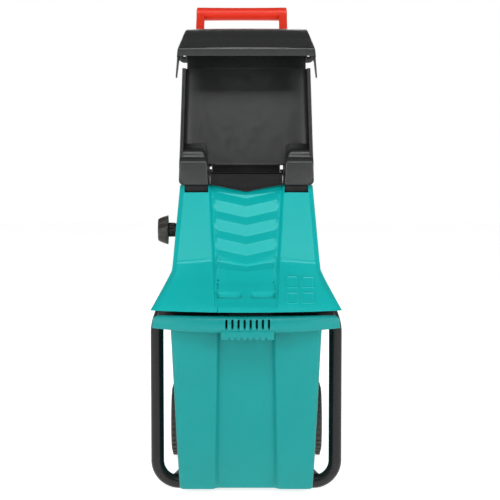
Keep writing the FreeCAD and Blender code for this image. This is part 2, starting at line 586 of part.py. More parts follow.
def covers():
    def front_levels(inset, top, low):
        return [
            (low, front_section("dim.skirt_hw", "dim.skirt_part_hw", "dim.skirt_corner",
                                "dim.skirt_front", "0.5", "4", inset)),
            ("dim.flare_z", front_section("dim.flare_hw", "dim.flare_part_hw", "dim.flare_front",
                                          "dim.flare_front - dim.flare_bow", "6", "9", inset)),
            ("dim.crease_z", front_section("dim.crease_hw", "dim.crease_part_hw", "dim.crease_front",
                                           "dim.crease_front", "dim.channel_deep", "dim.bevel", inset)),
            (top, front_section("dim.top_hw", "dim.top_part_hw", "dim.top_front", "dim.top_front",
                                "dim.channel_deep", "dim.bevel", inset)),
        ]

    front = new_body("front_shell")
    loft(front, "front_outside", front_levels("0", "dim.cover_top_z", "dim.skirt_z"))
    loft(front, "front_inside", front_levels("dim.shell_t", "dim.cover_top_z - dim.shell_t",
                                             "dim.skirt_z - 1"), hollow=True)
    inlet = box(
        "inlet_notch", ("-dim.inlet_hw - 0.4", "-90", "dim.inlet_notch_z"),
        ("dim.inlet_hw + 0.4", "dim.inlet_rear + 0.4", "dim.cover_top_z + 5"),
    )
    pocket = box(
        "foot_notch", ("dim.socket_in - 0.3", "-90", "dim.cover_top_z - dim.socket_deep"),
        ("dim.socket_hw + 0.3", "-12", "dim.cover_top_z + 5"),
    )
    knob_hole = rod("knob_hole", "X", ("-260", "dim.knob_y", "dim.knob_z"), "dim.neck_r", "120")
    boss = rod("cover_boss", "Z", ("dim.cover_boss_x", "dim.cover_boss_y", "dim.plate_z + dim.plate_t"),
               "dim.cover_boss_r", "dim.cover_boss_top - dim.plate_z - dim.plate_t")
    with_bosses = fuse("front_with_bosses", front, boss, mirrored("cover_boss_left", boss))
    finish("front_cover", cut("front_cover", with_bosses, inlet, pocket,
                              mirrored("foot_notch_left", pocket), knob_hole))

    def rear_levels(inset, top, low):
        crease_hw = "dim.rear_low_hw - 6"
        return [
            (low, rear_section("dim.skirt_part_hw", "dim.rear_low_hw + 8", "dim.rear_low_y", inset)),
            ("dim.flare_z", rear_section("dim.flare_part_hw", "dim.rear_low_hw", "dim.rear_low_y", inset)),
            ("dim.crease_z", rear_section("dim.crease_part_hw", crease_hw, "dim.rear_low_y", inset)),
            (top, rear_section("dim.top_part_hw", "dim.rear_top_hw", "dim.rear_top_y", inset)),
        ]

    rear = new_body("rear_shell")
    loft(rear, "rear_outside", rear_levels("0", "dim.cover_top_z", "dim.skirt_z"))
    loft(rear, "rear_inside", rear_levels("dim.shell_t", "dim.cover_top_z - dim.shell_t",
                                          "dim.skirt_z - 1"), hollow=True)
    vents = [
        box(f"vent_{i}", (f"{-24 + 12 * i}", "dim.rear_low_y - 20", "dim.skirt_z + 28"),
            (f"{-19 + 12 * i}", "dim.rear_low_y + 5", "dim.crease_z - 18"))
        for i in range(9)
    ]
    holes = [
        control_bar("start_hole", "dim.start_x", "dim.button_w/2 + dim.button_gap"),
        control_bar("stop_hole", "dim.stop_x", "dim.button_w/2 + dim.button_gap"),
        rod("dial_hole", "Y", ("dim.dial_x", "dim.rear_low_y - 30", "dim.button_row_z"), "dim.dial_r", "60"),
        rod("reset_hole", "Y", ("dim.dial_x", "dim.rear_low_y - 30", "dim.low_row_z"),
            "dim.reset_r + dim.button_gap", "60"),
        socket_bar("socket_hole", "0", "-30", "30"),
    ]
    finish("rear_cover", cut("rear_cover", rear, inlet, *vents, *holes, screw_shanks("cover_screw_hole")))


def screw_places():
    return [(x, z) for x in ("dim.cover_screw_x", "-dim.cover_screw_x")
            for z in ("dim.skirt_z + 20", "dim.crease_z - 12")]


def screw_shanks(name):
    return fuse(name, *[
        rod(f"{name}_{i}", "Y", (x, "dim.rear_low_y - 13", z), "2.2", "13")
        for i, (x, z) in enumerate(screw_places())
    ])


# ---- feed hopper, its sockets and the inlet chute -----------------------------------------


def hopper():
    lean = "dim.chute_lean"
    low_z = "dim.cover_top_z + dim.seat_gap"

    def panel_y(level, extra="0"):
        return f"dim.chute_low_y + ({level} - dim.chute_low_z)*{lean} + {extra}"

    body = new_body("hopper_moulding")
    loft(body, "hopper_block", [
        (low_z, rectangle("-dim.hopper_low_hw", "dim.hopper_low_front", "dim.hopper_low_hw",
                          panel_y(low_z, "dim.hopper_t"))),
        ("dim.hopper_top_z", rectangle("-dim.hopper_top_hw", "dim.hopper_top_front", "dim.hopper_top_hw",
                                       panel_y("dim.hopper_top_z", "dim.hopper_t"))),
    ])
    # the trough above the two corner humps
    share = "((dim.hump_back_z - dim.cover_top_z)/(dim.hopper_top_z - dim.cover_top_z))"
    hump_hw = f"(dim.hopper_low_hw + (dim.hopper_top_hw - dim.hopper_low_hw)*{share})"
    loft(body, "trough", [
        ("dim.hump_back_z", rectangle(f"-({hump_hw} - dim.hopper_t)", "-120", f"{hump_hw} - dim.hopper_t",
                                      panel_y("dim.hump_back_z"))),
        ("dim.hopper_top_z + 1", rectangle("-(dim.hopper_top_hw - dim.hopper_t)", "-120",
                                           "dim.hopper_top_hw - dim.hopper_t",
                                           panel_y("dim.hopper_top_z + 1"))),
    ], hollow=True)
    # the humps' sloping tops
    prism(body, "hump_slope", "YZ", [
        ("-120", "dim.hump_front_z"), ("dim.hopper_low_front + 14", "dim.hump_front_z"),
        ("dim.hopper_low_front + 24", "dim.hump_edge_z"), (panel_y("dim.hump_back_z"), "dim.hump_back_z"),
        (panel_y("dim.hump_back_z"), "dim.hump_back_z + 1"), ("-120", "dim.hump_back_z + 1"),
    ], f"2*({hump_hw} - dim.hopper_t)", hollow=True)
    # the throat between the humps
    prism(body, "throat", "YZ", [
        ("-120", f"{low_z} - 1"), (panel_y(low_z, "9"), f"{low_z} - 1"),
        (panel_y("dim.chute_low_z", "9"), "dim.chute_low_z"), (panel_y("dim.chute_low_z"), "dim.chute_low_z"),
        (panel_y("dim.hump_back_z"), "dim.hump_back_z"), ("-120", "dim.hump_back_z"),
    ], "2*dim.hump_hw", hollow=True)
    # the tongue that carries the hood
    prism(body, "tongue", "YZ", [
        (panel_y("dim.hopper_top_z - 1"), "dim.hopper_top_z - 1"),
        (panel_y("dim.hopper_top_z - 1", "dim.hopper_t"), "dim.hopper_top_z - 1"),
        (panel_y("dim.tongue_top_z", "dim.hopper_t"), "dim.tongue_top_z"),
        (panel_y("dim.tongue_top_z"), "dim.tongue_top_z"),
    ], "2*dim.tongue_hw")
    # the humps are hollow from below
    hollow = box(
        "hump_hollow",
        ("dim.hump_hw + dim.hopper_t", "dim.hopper_low_front + dim.hopper_t + 4", f"{low_z} - 1"),
        ("dim.hopper_low_hw - dim.hopper_t - 3", "dim.chute_low_y - 17", "dim.hump_front_z - dim.hopper_t"),
    )
    shell = cut("hollow_hopper", body, hollow, mirrored("hump_hollow_left", hollow))
    # blocks behind the tongue, which the handle's screws pull the hood against
    half = "(dim.grip_half - dim.post_w/2)"
    block_z = "dim.post_foot_z - dim.post_t"
    blocks = [
        box(f"tongue_block_{i}",
            (f"dim.grip_offset {sign} {half} - 9", tongue_y("dim.tongue_top_z"), block_z),
            (f"dim.grip_offset {sign} {half} + 9", "dim.hood_rear_y - dim.hood_t", "dim.tongue_top_z - 4"))
        for i, sign in enumerate("-+")
    ]
    finish("hopper", cut("hopper", fuse("hopper_solid", shell, *blocks),
                         handle_screw_bars("tongue_hole", "dim.handle_screw_r"),
                         handle_screw_bars("head_seat", "dim.handle_screw_r + 3", head=True)))

    # the blocks in the cover that the hopper's feet stand on
    socket = box(
        "socket_block", ("dim.socket_in", "dim.top_front - 3", "dim.cover_top_z - dim.socket_deep + 0.3"),
        ("dim.socket_hw", "-12.3", "dim.cover_top_z"),
    )
    finish("hopper_socket_right", socket)
    finish("hopper_socket_left", mirrored("hopper_socket_left", socket))

    chute = new_body("chute_moulding")
    step_z = "dim.inlet_notch_z + 0.4"

    def box_plan(inset):
        return rectangle(f"-(dim.inlet_hw - {inset})", f"dim.inlet_front + {inset}",
                         f"dim.inlet_hw - {inset}", f"dim.inlet_rear - {inset}")

    def neck_plans(inset, low, high):
        """The neck narrows down to the cutting chamber."""
        low_rear = f"dim.chamber_rear - dim.rear_wall + dim.inlet_t - {inset}"
        return [
            (low, rectangle(f"dim.inlet_low_x + {inset}", f"dim.inlet_low_y + {inset}",
                            f"dim.chamber_right - {inset}", low_rear)),
            (high, rectangle(f"-(dim.inlet_hw - {inset})", f"dim.inlet_neck_y + {inset}",
                             f"dim.inlet_hw - {inset}", f"dim.inlet_rear - {inset}")),
        ]

    loft(chute, "neck_outside", neck_plans("0", "dim.chamber_top_z", step_z))
    loft(chute, "box_outside", [(step_z, box_plan("0")), ("dim.inlet_back_z", box_plan("0"))])
    inner_step = f"{step_z} + dim.inlet_t"
    loft(chute, "neck_inside", neck_plans("dim.inlet_t", "dim.chamber_top_z - 1", inner_step), hollow=True)
    loft(chute, "box_inside", [(inner_step, box_plan("dim.inlet_t")),
                               ("dim.inlet_back_z + 1", box_plan("dim.inlet_t"))], hollow=True)
    prism(chute, "low_front", "YZ", [
        ("-90", "dim.inlet_top_z"), ("dim.inlet_rear - dim.inlet_t - 8", "dim.inlet_top_z"),
        ("dim.inlet_rear - dim.inlet_t - 1", "dim.inlet_back_z + 2"), ("-90", "dim.inlet_back_z + 2"),
    ], "3*dim.inlet_hw", hollow=True)
    corner = box(
        "back_corner",
        ("dim.inlet_hw - dim.inlet_corner", "dim.inlet_rear - dim.inlet_t - 9", "dim.inlet_top_z"),
        ("dim.inlet_hw + 1", "dim.inlet_rear + 1", "dim.inlet_back_z + 1"),
    )
    finish("inlet_chute", cut("inlet_chute", chute, corner, mirrored("back_corner_left", corner)))


# ---- hood and carrying handle -------------------------------------------------------------


def tongue_y(level):
    """The front face of the hopper's tongue at a height."""
    return f"dim.chute_low_y + ({level} - dim.chute_low_z)*dim.chute_lean"


def handle_screw_places():
    half = "(dim.grip_half - dim.post_w/2)"
    return [
        (f"dim.grip_offset {sign} {half}", level)
        for sign in "-+" for level in ("dim.post_foot_z - dim.post_t + 6", "dim.post_foot_z + 6")
    ]


def handle_screw_bars(name, radius, head=False):
    """The handle's screws, or the holes for them: from the tongue's front through into the posts."""
    bars = []
    for i, (x, level) in enumerate(handle_screw_places()):
        end = "dim.hood_rear_y + 11"
        start = f"({tongue_y(level)} - 3)"
        length = "4" if head else f"{end} - {start}"
        bars.append(rod(f"{name}_{i}", "Y", (x, start, level), radius, length))
    return fuse(name, *bars)


def hood():
    def levels(inset, top):
        def plan(half, front):
            return rectangle(f"-({half} - {inset})", f"{front} + {inset}", f"{half} - {inset}",
                             f"dim.hood_rear_y - {inset}")
        low = "dim.wing_tip_z" if inset == "0" else "dim.wing_tip_z - 1"
        return [
            (low, plan("dim.wing_tip_hw", "dim.hood_front_y")),
            (f"dim.hood_lip_z - {inset}", plan("dim.hood_lip_hw", "dim.hood_front_y")),
            (top, plan("dim.hood_top_hw", "dim.hood_back_y")),
        ]

    body = new_body("hood_moulding")
    loft(body, "hood_outside", levels("0", "dim.hood_top_z"))
    loft(body, "hood_inside", levels("dim.hood_t", "dim.hood_top_z - dim.hood_t"), hollow=True)
    # below the lip only the two side wings are left, tapering to their tips
    prism(body, "front_gap", "YZ", [
        ("dim.hood_front_y - 20", "dim.wing_tip_z - 9"), ("dim.hood_rear_y + 9", "dim.wing_tip_z - 9"),
        ("dim.hood_rear_y + 9", "dim.hood_back_low_z"), ("dim.hood_rear_y - 60", "dim.hood_back_low_z - 8"),
        ("30", "dim.wing_tip_z"), ("16", "dim.wing_tip_z"),
        ("dim.hood_front_y + dim.hood_t", "dim.hood_lip_low_z"),
        ("dim.hood_front_y - 20", "dim.hood_lip_low_z"),
    ], "3*dim.wing_tip_hw", hollow=True)
    finish("hood", cut("hood", body, handle_screw_bars("hood_hole", "dim.handle_screw_r")))

    # brackets that stand out of the tongue's edges and carry the hood's sides
    lean_y = tongue_y("1026")
    plate = box(
        "bracket_plate", ("dim.tongue_hw", f"{lean_y} - 1", "1018"),
        ("dim.hood_lip_hw - dim.hood_t - 0.6", f"{lean_y} + 2.5", "1036"),
    )
    hole = rod("bracket_hole", "Y", ("dim.tongue_hw + 7.5", f"{lean_y} - 9", "1028"), "3", "20")
    finish("hood_brackets", both_sides("hood_brackets", cut("hood_bracket", plate, hole)))

    bar_ends = [f"dim.grip_offset - dim.grip_half", f"dim.grip_offset + dim.grip_half"]
    bar = new_body("grip_bar")
    turned(bar, "grip_turning", [
        (bar_ends[0], "0"), (bar_ends[1], "0"), (bar_ends[1], "dim.grip_r - 1"),
        (f"{bar_ends[1]} - 1", "dim.grip_r"), (f"{bar_ends[1]} - dim.post_w", "dim.grip_r - 0.4"),
        ("dim.grip_offset", "dim.grip_r - 1.4"), (f"{bar_ends[0]} + dim.post_w", "dim.grip_r - 0.4"),
        (f"{bar_ends[0]} + 1", "dim.grip_r"), (bar_ends[0], "dim.grip_r - 1"),
    ])
    bind(bar, "Placement.Base.y", "dim.grip_y")
    bind(bar, "Placement.Base.z", "dim.grip_z")
    posts = []
    for side, start in (("left", bar_ends[0]), ("right", f"{bar_ends[1]} - dim.post_w")):
        post = new_body(f"{side}_post")
        foot = "dim.hood_rear_y"
        prism(post, f"{side}_arm", "YZ", [
            (foot, "dim.post_foot_z + dim.post_t/2"), (foot, "dim.post_foot_z - dim.post_t"),
            (f"{foot} + 14", "dim.post_foot_z - dim.post_t"),
            ("dim.grip_y + 6", "dim.grip_z - 12"), ("dim.grip_y - 8", "dim.grip_z + 9"),
        ], "dim.post_w", offset=f"{start} + dim.post_w/2")
        posts.append(post)
    posts_and_bar = fuse("handle_casting", bar, *posts)
    finish("carry_handle", cut("carry_handle", posts_and_bar,
                               handle_screw_bars("post_hole", "dim.handle_screw_r")))
    screws = fuse("screw_blanks", handle_screw_bars("screw_shank", "dim.handle_screw_r"),
                  handle_screw_bars("screw_head", "dim.handle_screw_r + 3", head=True))
    finish("handle_screws", screws)


# ---- cutting unit -------------------------------------------------------------------------


def cutting_unit():
    inside_low = ("dim.chamber_left + dim.chamber_wall", "dim.chamber_front + dim.chamber_wall")
    inside_high = ("dim.chamber_right - dim.chamber_wall", "dim.chamber_rear - dim.rear_wall")
    block = box("chamber_block", ("dim.chamber_left", "dim.chamber_front", "dim.chamber_low_z"),
                ("dim.chamber_right", "dim.chamber_rear", "dim.chamber_top_z"))
    room = box("chamber_room", (*inside_low, "dim.chamber_low_z - 1"),
               (*inside_high, "dim.chamber_top_z + 1"))
    seat = rod("bearing_seats", "Y", ("dim.drum_x", "dim.chamber_front - 1", "dim.drum_z"),
               "dim.bearing_r", "dim.chamber_rear - dim.chamber_front + 2")
    thread = rod("screw_thread", "X", ("dim.chamber_left - 1", "dim.knob_y", "dim.knob_z"),
                 "dim.screw_r + dim.run_gap", "dim.chamber_wall + 2")
    finish("cutting_chamber", cut("cutting_chamber", block, room, seat, thread))

    duct = box("duct_block", ("dim.chamber_left", "dim.chamber_front", "dim.plate_z + dim.plate_t"),
               ("dim.chamber_right", "dim.chamber_rear", "dim.chamber_low_z"))
    way = box("duct_way", (*inside_low, "dim.plate_z"), (*inside_high, "dim.chamber_low_z + 1"))
    finish("discharge_duct", cut("discharge_duct", duct, way))

    rings = []
    for name, y, width in (("front", "dim.chamber_front", "dim.chamber_wall"),
                           ("rear", "dim.chamber_rear - dim.rear_wall", "dim.rear_wall")):
        start = ("dim.drum_x", y, "dim.drum_z")
        ring = rod(f"{name}_race", "Y", start, "dim.bearing_r", width)
        hole = rod(f"{name}_race_bore", "Y", start, "dim.shaft_r + dim.run_gap", width)
        rings.append(cut(f"{name}_bearing", ring, hole))
    finish("drum_bearings", group("drum_bearings", *rings))

    # the drum: eight saw-tooth cutting bars round a core
    drum = new_body("drum_forging")
    corners = []
    for tooth in range(8):
        angle = 45 * tooth
        for radius, turn in (("dim.drum_root_r", 0), ("dim.drum_tip_r", 3), ("dim.drum_tip_r", 10),
                             ("dim.drum_root_r", 32)):
            corners.append((f"dim.drum_x + {radius}*cos({angle + turn} deg)",
                            f"dim.drum_z + {radius}*sin({angle + turn} deg)"))
    prism(drum, "drum_blank", "XZ", corners, "2*dim.drum_half")
    shaft_start = ("dim.drum_x", "dim.chamber_front - 6", "dim.drum_z")
    shaft_length = f"{FIRST_GEAR_Y} + dim.gear_w + 1 - (dim.chamber_front - 6)"
    bore = rod("drum_bore", "Y", shaft_start, "dim.shaft_r", shaft_length)
    finish("cutting_drum", cut("cutting_drum", drum, bore))
    finish("drum_shaft", rod("drum_shaft", "Y", shaft_start, "dim.shaft_r", shaft_length))

    anvil = box("anvil_block", ("dim.anvil_x", "-dim.anvil_half", "dim.anvil_low_z"),
                ("dim.anvil_x + dim.anvil_t", "dim.anvil_half", "dim.anvil_top_z"))
    blind = rod("anvil_hole", "X", ("dim.anvil_x - 1", "dim.knob_y", "dim.knob_z"),
                "dim.screw_r + 0.3", "dim.anvil_hole_deep + 1")
    finish("pressure_plate", cut("pressure_plate", anvil, blind))


# ---- adjusting knob -----------------------------------------------------------------------


def knob():
    head = new_body("knob_head")
    corners = []
    for i in range(30):
        radius = "dim.knob_r" if i % 6 < 3 else "(dim.knob_r*0.84)"
        corners.append((f"dim.knob_y + {radius}*cos({12 * i} deg)",
                        f"dim.knob_z + {radius}*sin({12 * i} deg)"))
    prism(head, "lobes", "YZ", corners, "dim.knob_out_x - dim.knob_in_x",
          offset="-(dim.knob_out_x + dim.knob_in_x)/2")
    neck = rod("knob_neck", "X", ("-dim.knob_in_x - 1", "dim.knob_y", "dim.knob_z"), "dim.neck_r - 1",
               "dim.knob_in_x + 1 - dim.neck_in_x")
    screw_start = ("-dim.knob_in_x - 10", "dim.knob_y", "dim.knob_z")
    bore = rod("knob_bore", "X", screw_start, "dim.screw_r", "60")
    finish("adjusting_knob", cut("adjusting_knob", fuse("knob_solid", head, neck), bore))
    finish("adjusting_screw", rod(
        "adjusting_screw", "X", screw_start, "dim.screw_r",
        "dim.knob_in_x + 10 + dim.anvil_x + dim.anvil_hole_deep - 3.5"))
    flange = rod("bush_flange", "X", ("-dim.neck_in_x + 0.3", "dim.knob_y", "dim.knob_z"), "dim.neck_r", "14")
    collar = rod("bush_collar", "X", ("-dim.bush_seat_x", "dim.knob_y", "dim.knob_z"), "dim.bush_r", "3")
    hole = rod("bush_hole", "X", ("-dim.neck_in_x - 1", "dim.knob_y", "dim.knob_z"),
               "dim.screw_r + dim.run_gap", "30")
    finish("screw_bush", cut("screw_bush", fuse("bush_solid", flange, collar), hole))


# ---- gearbox ------------------------------------------------------------------------------


def gear_face(module, teeth, turn_deg):
    """A spur gear's outline as a face round the origin in the XZ plane, involute flanks at 20 degrees."""
    pressure = math.radians(20)
    pitch_r = module * teeth / 2
    base_r = pitch_r * math.cos(pressure)
    tip_r = pitch_r + module * 0.95
    root_r = pitch_r - module * 1.3
    involute = math.tan(pressure) - pressure
    half_pitch = math.pi / (2 * teeth) - num("dim.backlash") / (4 * pitch_r)
    points = []
    for tooth in range(teeth):
        centre = 2 * math.pi * tooth / teeth + math.radians(turn_deg)
        flank = []
        steps = 4
        for i in range(steps + 1):
            radius = max(base_r, root_r) + (tip_r - max(base_r, root_r)) * i / steps
            roll = math.acos(min(1.0, base_r / radius))
            flank.append((radius, half_pitch + involute - (math.tan(roll) - roll)))
        flank.insert(0, (root_r, flank[0][1] * 1.02))
        rising = [(r, centre - a) for r, a in flank]
        falling = [(r, centre + a) for r, a in reversed(flank)]
        points += [FreeCAD.Vector(r * math.cos(a), 0, r * math.sin(a)) for r, a in rising + falling]
    return Part.Face(Part.makePolygon(points + points[:1]))


def gear(name, module, teeth, centre, y, width, bore, turn_deg=0.0):
    face = gear_face(module, teeth, turn_deg)
    face.translate(FreeCAD.Vector(centre[0], y, centre[1]))
    solid = face.extrude(FreeCAD.Vector(0, width, 0))
    hole = Part.makeCylinder(bore, width, FreeCAD.Vector(centre[0], y, centre[1]), Y_AXIS)
    return shape_feature(name, solid.cut(hole))


FIRST_GEAR_Y = "(dim.chamber_rear + dim.case_wall + 2)"
SECOND_GEAR_Y = f"({FIRST_GEAR_Y} + dim.gear_w + 4)"
LOW_CENTRES = "(dim.low_module*(dim.pinion_teeth + dim.wheel_teeth)/2)"
HIGH_CENTRES = "(dim.high_module*(dim.pinion_teeth + dim.wheel_teeth)/2)"
LAY_X = f"(dim.drum_x + {LOW_CENTRES}*cos(dim.lay_angle*1deg))"
LAY_Z = f"(dim.drum_z + {LOW_CENTRES}*sin(dim.lay_angle*1deg))"
MOTOR_X = f"({LAY_X} + {HIGH_CENTRES}*cos(dim.motor_angle*1deg))"
MOTOR_Z = f"({LAY_Z} + {HIGH_CENTRES}*sin(dim.motor_angle*1deg))"


def meshing_turn(toward_deg, teeth_here, teeth_there):
    """The turn that puts a gap of this gear opposite the other gear's tooth, which is at turn 0."""
    there_phase = ((toward_deg + 180) / (360 / teeth_there)) % 1
    return toward_deg - (0.5 - there_phase) * 360 / teeth_here


def gearbox():
    small = int(num("dim.pinion_teeth"))
    large = int(num("dim.wheel_teeth"))
    width = num("dim.gear_w")
    drum = (num("dim.drum_x"), num("dim.drum_z"))
    lay = (num(LAY_X), num(LAY_Z))
    motor_centre = (num(MOTOR_X), num(MOTOR_Z))
    first_y = num(FIRST_GEAR_Y)
    second_y = num(SECOND_GEAR_Y)
    low = num("dim.low_module")
    high = num("dim.high_module")
    thin = num("dim.motor_shaft_r")
    lay_turn = meshing_turn(num("dim.lay_angle") + 180, small, large)
    motor_turn = meshing_turn(num("dim.motor_angle") + 180, small, large)
    finish("drum_gear", gear("drum_gear", low, large, drum, first_y, width, num("dim.shaft_r")))
    finish("lay_pinion", gear("lay_pinion", low, small, lay, first_y, width + 1, thin, lay_turn))
    finish("lay_gear", gear("lay_gear", high, large, lay, second_y, width, num("dim.lay_r")))
    finish("motor_pinion", gear("motor_pinion", high, small, motor_centre, second_y, width, thin / 2,
                                motor_turn))

    # a stepped lay shaft, carried in the case's front wall and in its lid
    lay_start = "(dim.chamber_rear + 1)"
    stem = rod("lay_stem", "Y", (LAY_X, lay_start, LAY_Z), "dim.motor_shaft_r",
               f"dim.case_rear + dim.case_lid - 1 - {lay_start}")
    step = rod("lay_step", "Y", (LAY_X, SECOND_GEAR_Y, LAY_Z), "dim.lay_r", "dim.gear_w + 0.5")
    finish("lay_shaft", fuse("lay_shaft", stem, step))

    case = box("case_block", ("dim.case_left", "dim.chamber_rear", "dim.case_low_z"),
               ("dim.case_right", "dim.case_rear", "dim.case_top_z"))
    room = box("case_room", ("dim.case_left + dim.case_wall", "dim.chamber_rear + dim.case_wall",
                             "dim.case_low_z + dim.case_wall"),
               ("dim.case_right - dim.case_wall", "dim.case_rear + 1", "dim.case_top_z - dim.case_wall"))
    drum_way = rod("drum_way", "Y", ("dim.drum_x", "dim.chamber_rear - 1", "dim.drum_z"),
                   "dim.shaft_r + 1", "20")
    lay_seat = rod("lay_seat", "Y", (LAY_X, "dim.chamber_rear - 1", LAY_Z),
                   "dim.motor_shaft_r + dim.run_gap", "20")
    finish("gear_case", cut("gear_case", case, room, drum_way, lay_seat))

    lid = box("lid_block", ("dim.case_left", "dim.case_rear", "dim.case_low_z"),
              ("dim.case_right", "dim.case_rear + dim.case_lid", "dim.case_top_z"))
    lid_holes = [
        rod(f"{name}_lid_hole", "Y", (x, "dim.case_rear - 1", z), "dim.motor_shaft_r + dim.run_gap", "20")
        for name, x, z in (("lay", LAY_X, LAY_Z), ("motor", MOTOR_X, MOTOR_Z))
    ]
    finish("gear_case_lid", cut("gear_case_lid", lid, *lid_holes))


# ---- motor --------------------------------------------------------------------------------


def motor_rod(name, start, radius, length):
    """A cylinder on the motor's axis."""
    return rod(name, "Y", (MOTOR_X, start, MOTOR_Z), radius, length)


def motor_tube(name, start, length, outer, inner):
    return cut(name, motor_rod(name + "_bar", start, outer, length),
               motor_rod(name + "_bore", start, inner, length))


def around_motor(name, blank, count, turn):
    """Copies of a piece, turned about the motor's axis."""
    copies = []
    for i in range(count):
        copy = DOC.addObject("Part::Feature", f"{name}_{i}")
        shape = blank.copy()
        shape.rotate(FreeCAD.Vector(), Y_AXIS, turn + 360 * i / count)
        copy.Shape = shape
        copy.Placement = FreeCAD.Placement(
            FreeCAD.Vector(num(MOTOR_X), 0, num(MOTOR_Z)), copy.Placement.Rotation)
        copies.append(copy)
    return copies


def motor():
    front = "(dim.case_rear + dim.case_lid)"
    can_inner = "dim.motor_r - dim.can_t"
    core_length = "dim.core_rear - dim.core_front"
    finish("motor_can", motor_tube("motor_can", front, f"dim.motor_rear - {front}", "dim.motor_r", can_inner))
    finish("motor_stator", motor_tube("motor_stator", "dim.core_front", core_length, can_inner,
                                      "dim.stator_in_r"))
    finish("motor_rotor", motor_tube("motor_rotor", "dim.core_front", core_length, "dim.rotor_r",
                                     "dim.motor_shaft_r"))
    nose = motor_rod("shaft_nose", SECOND_GEAR_Y, "dim.motor_shaft_r/2", f"{front} - {SECOND_GEAR_Y}")
    stem = motor_rod("shaft_stem", f"{front} - 3.5", "dim.motor_shaft_r", f"dim.motor_rear + 6.5 - {front}")
    finish("motor_shaft", fuse("motor_shaft", nose, stem))

    fan_y = num("dim.core_rear + 8")
    blade = Part.makeBox(num("dim.fan_r - 10"), 12, 3, FreeCAD.Vector(10, fan_y + 1, -1.5))
    hub = motor_rod("fan_hub", "dim.core_rear + 8", "14", "14")
    wheel = fuse("fan_wheel", hub, *around_motor("fan_blade", blade, 7, 0))
    fan_bore = motor_rod("fan_bore", "dim.core_rear", "dim.motor_shaft_r", "40")
    finish("cooling_fan", cut("cooling_fan", wheel, fan_bore))

    vent = Part.makeCylinder(8, 6, FreeCAD.Vector(38, num("dim.motor_rear - 1"), 0), Y_AXIS)
    bell = motor_tube("bell_disc", "dim.motor_rear", "4", "dim.motor_r", "dim.motor_shaft_r + dim.run_gap")
    finish("motor_end_bell", cut("motor_end_bell", bell, *around_motor("bell_vent", vent, 8, 22.5)))

    cradle = box("cradle_block", (f"{MOTOR_X} - 50", "dim.core_front + 8", "dim.plate_z + dim.plate_t"),
                 (f"{MOTOR_X} + 50", "dim.core_rear", f"{MOTOR_Z} - 38"))
    finish("motor_cradle", cut("motor_cradle", cradle, motor_rod("cradle_seat", front, "dim.motor_r", "100")))
    finish("run_capacitor", rod("run_capacitor", "Y", ("-112", "75", "dim.plate_z + dim.plate_t + 22"),
                                "22", "95"))


# ---- controls at the back -----------------------------------------------------------------


def control_bar(name, x, half):
    return box(name, (f"{x} - ({half})", "dim.rear_low_y - 30", f"dim.button_row_z - ({half})"),
               (f"{x} + {half}", "dim.rear_low_y + 30", f"dim.button_row_z + {half}"))


def socket_bar(name, inset, back, front):
    half_w = f"dim.socket_w/2 - {inset}"
    half_h = f"dim.socket_h/2 - {inset}"
    return box(name,
               (f"dim.socket_x - ({half_w})", f"dim.rear_low_y + ({back})", f"dim.low_row_z - ({half_h})"),
               (f"dim.socket_x + {half_w}", f"dim.rear_low_y + {front}", f"dim.low_row_z + {half_h}"))


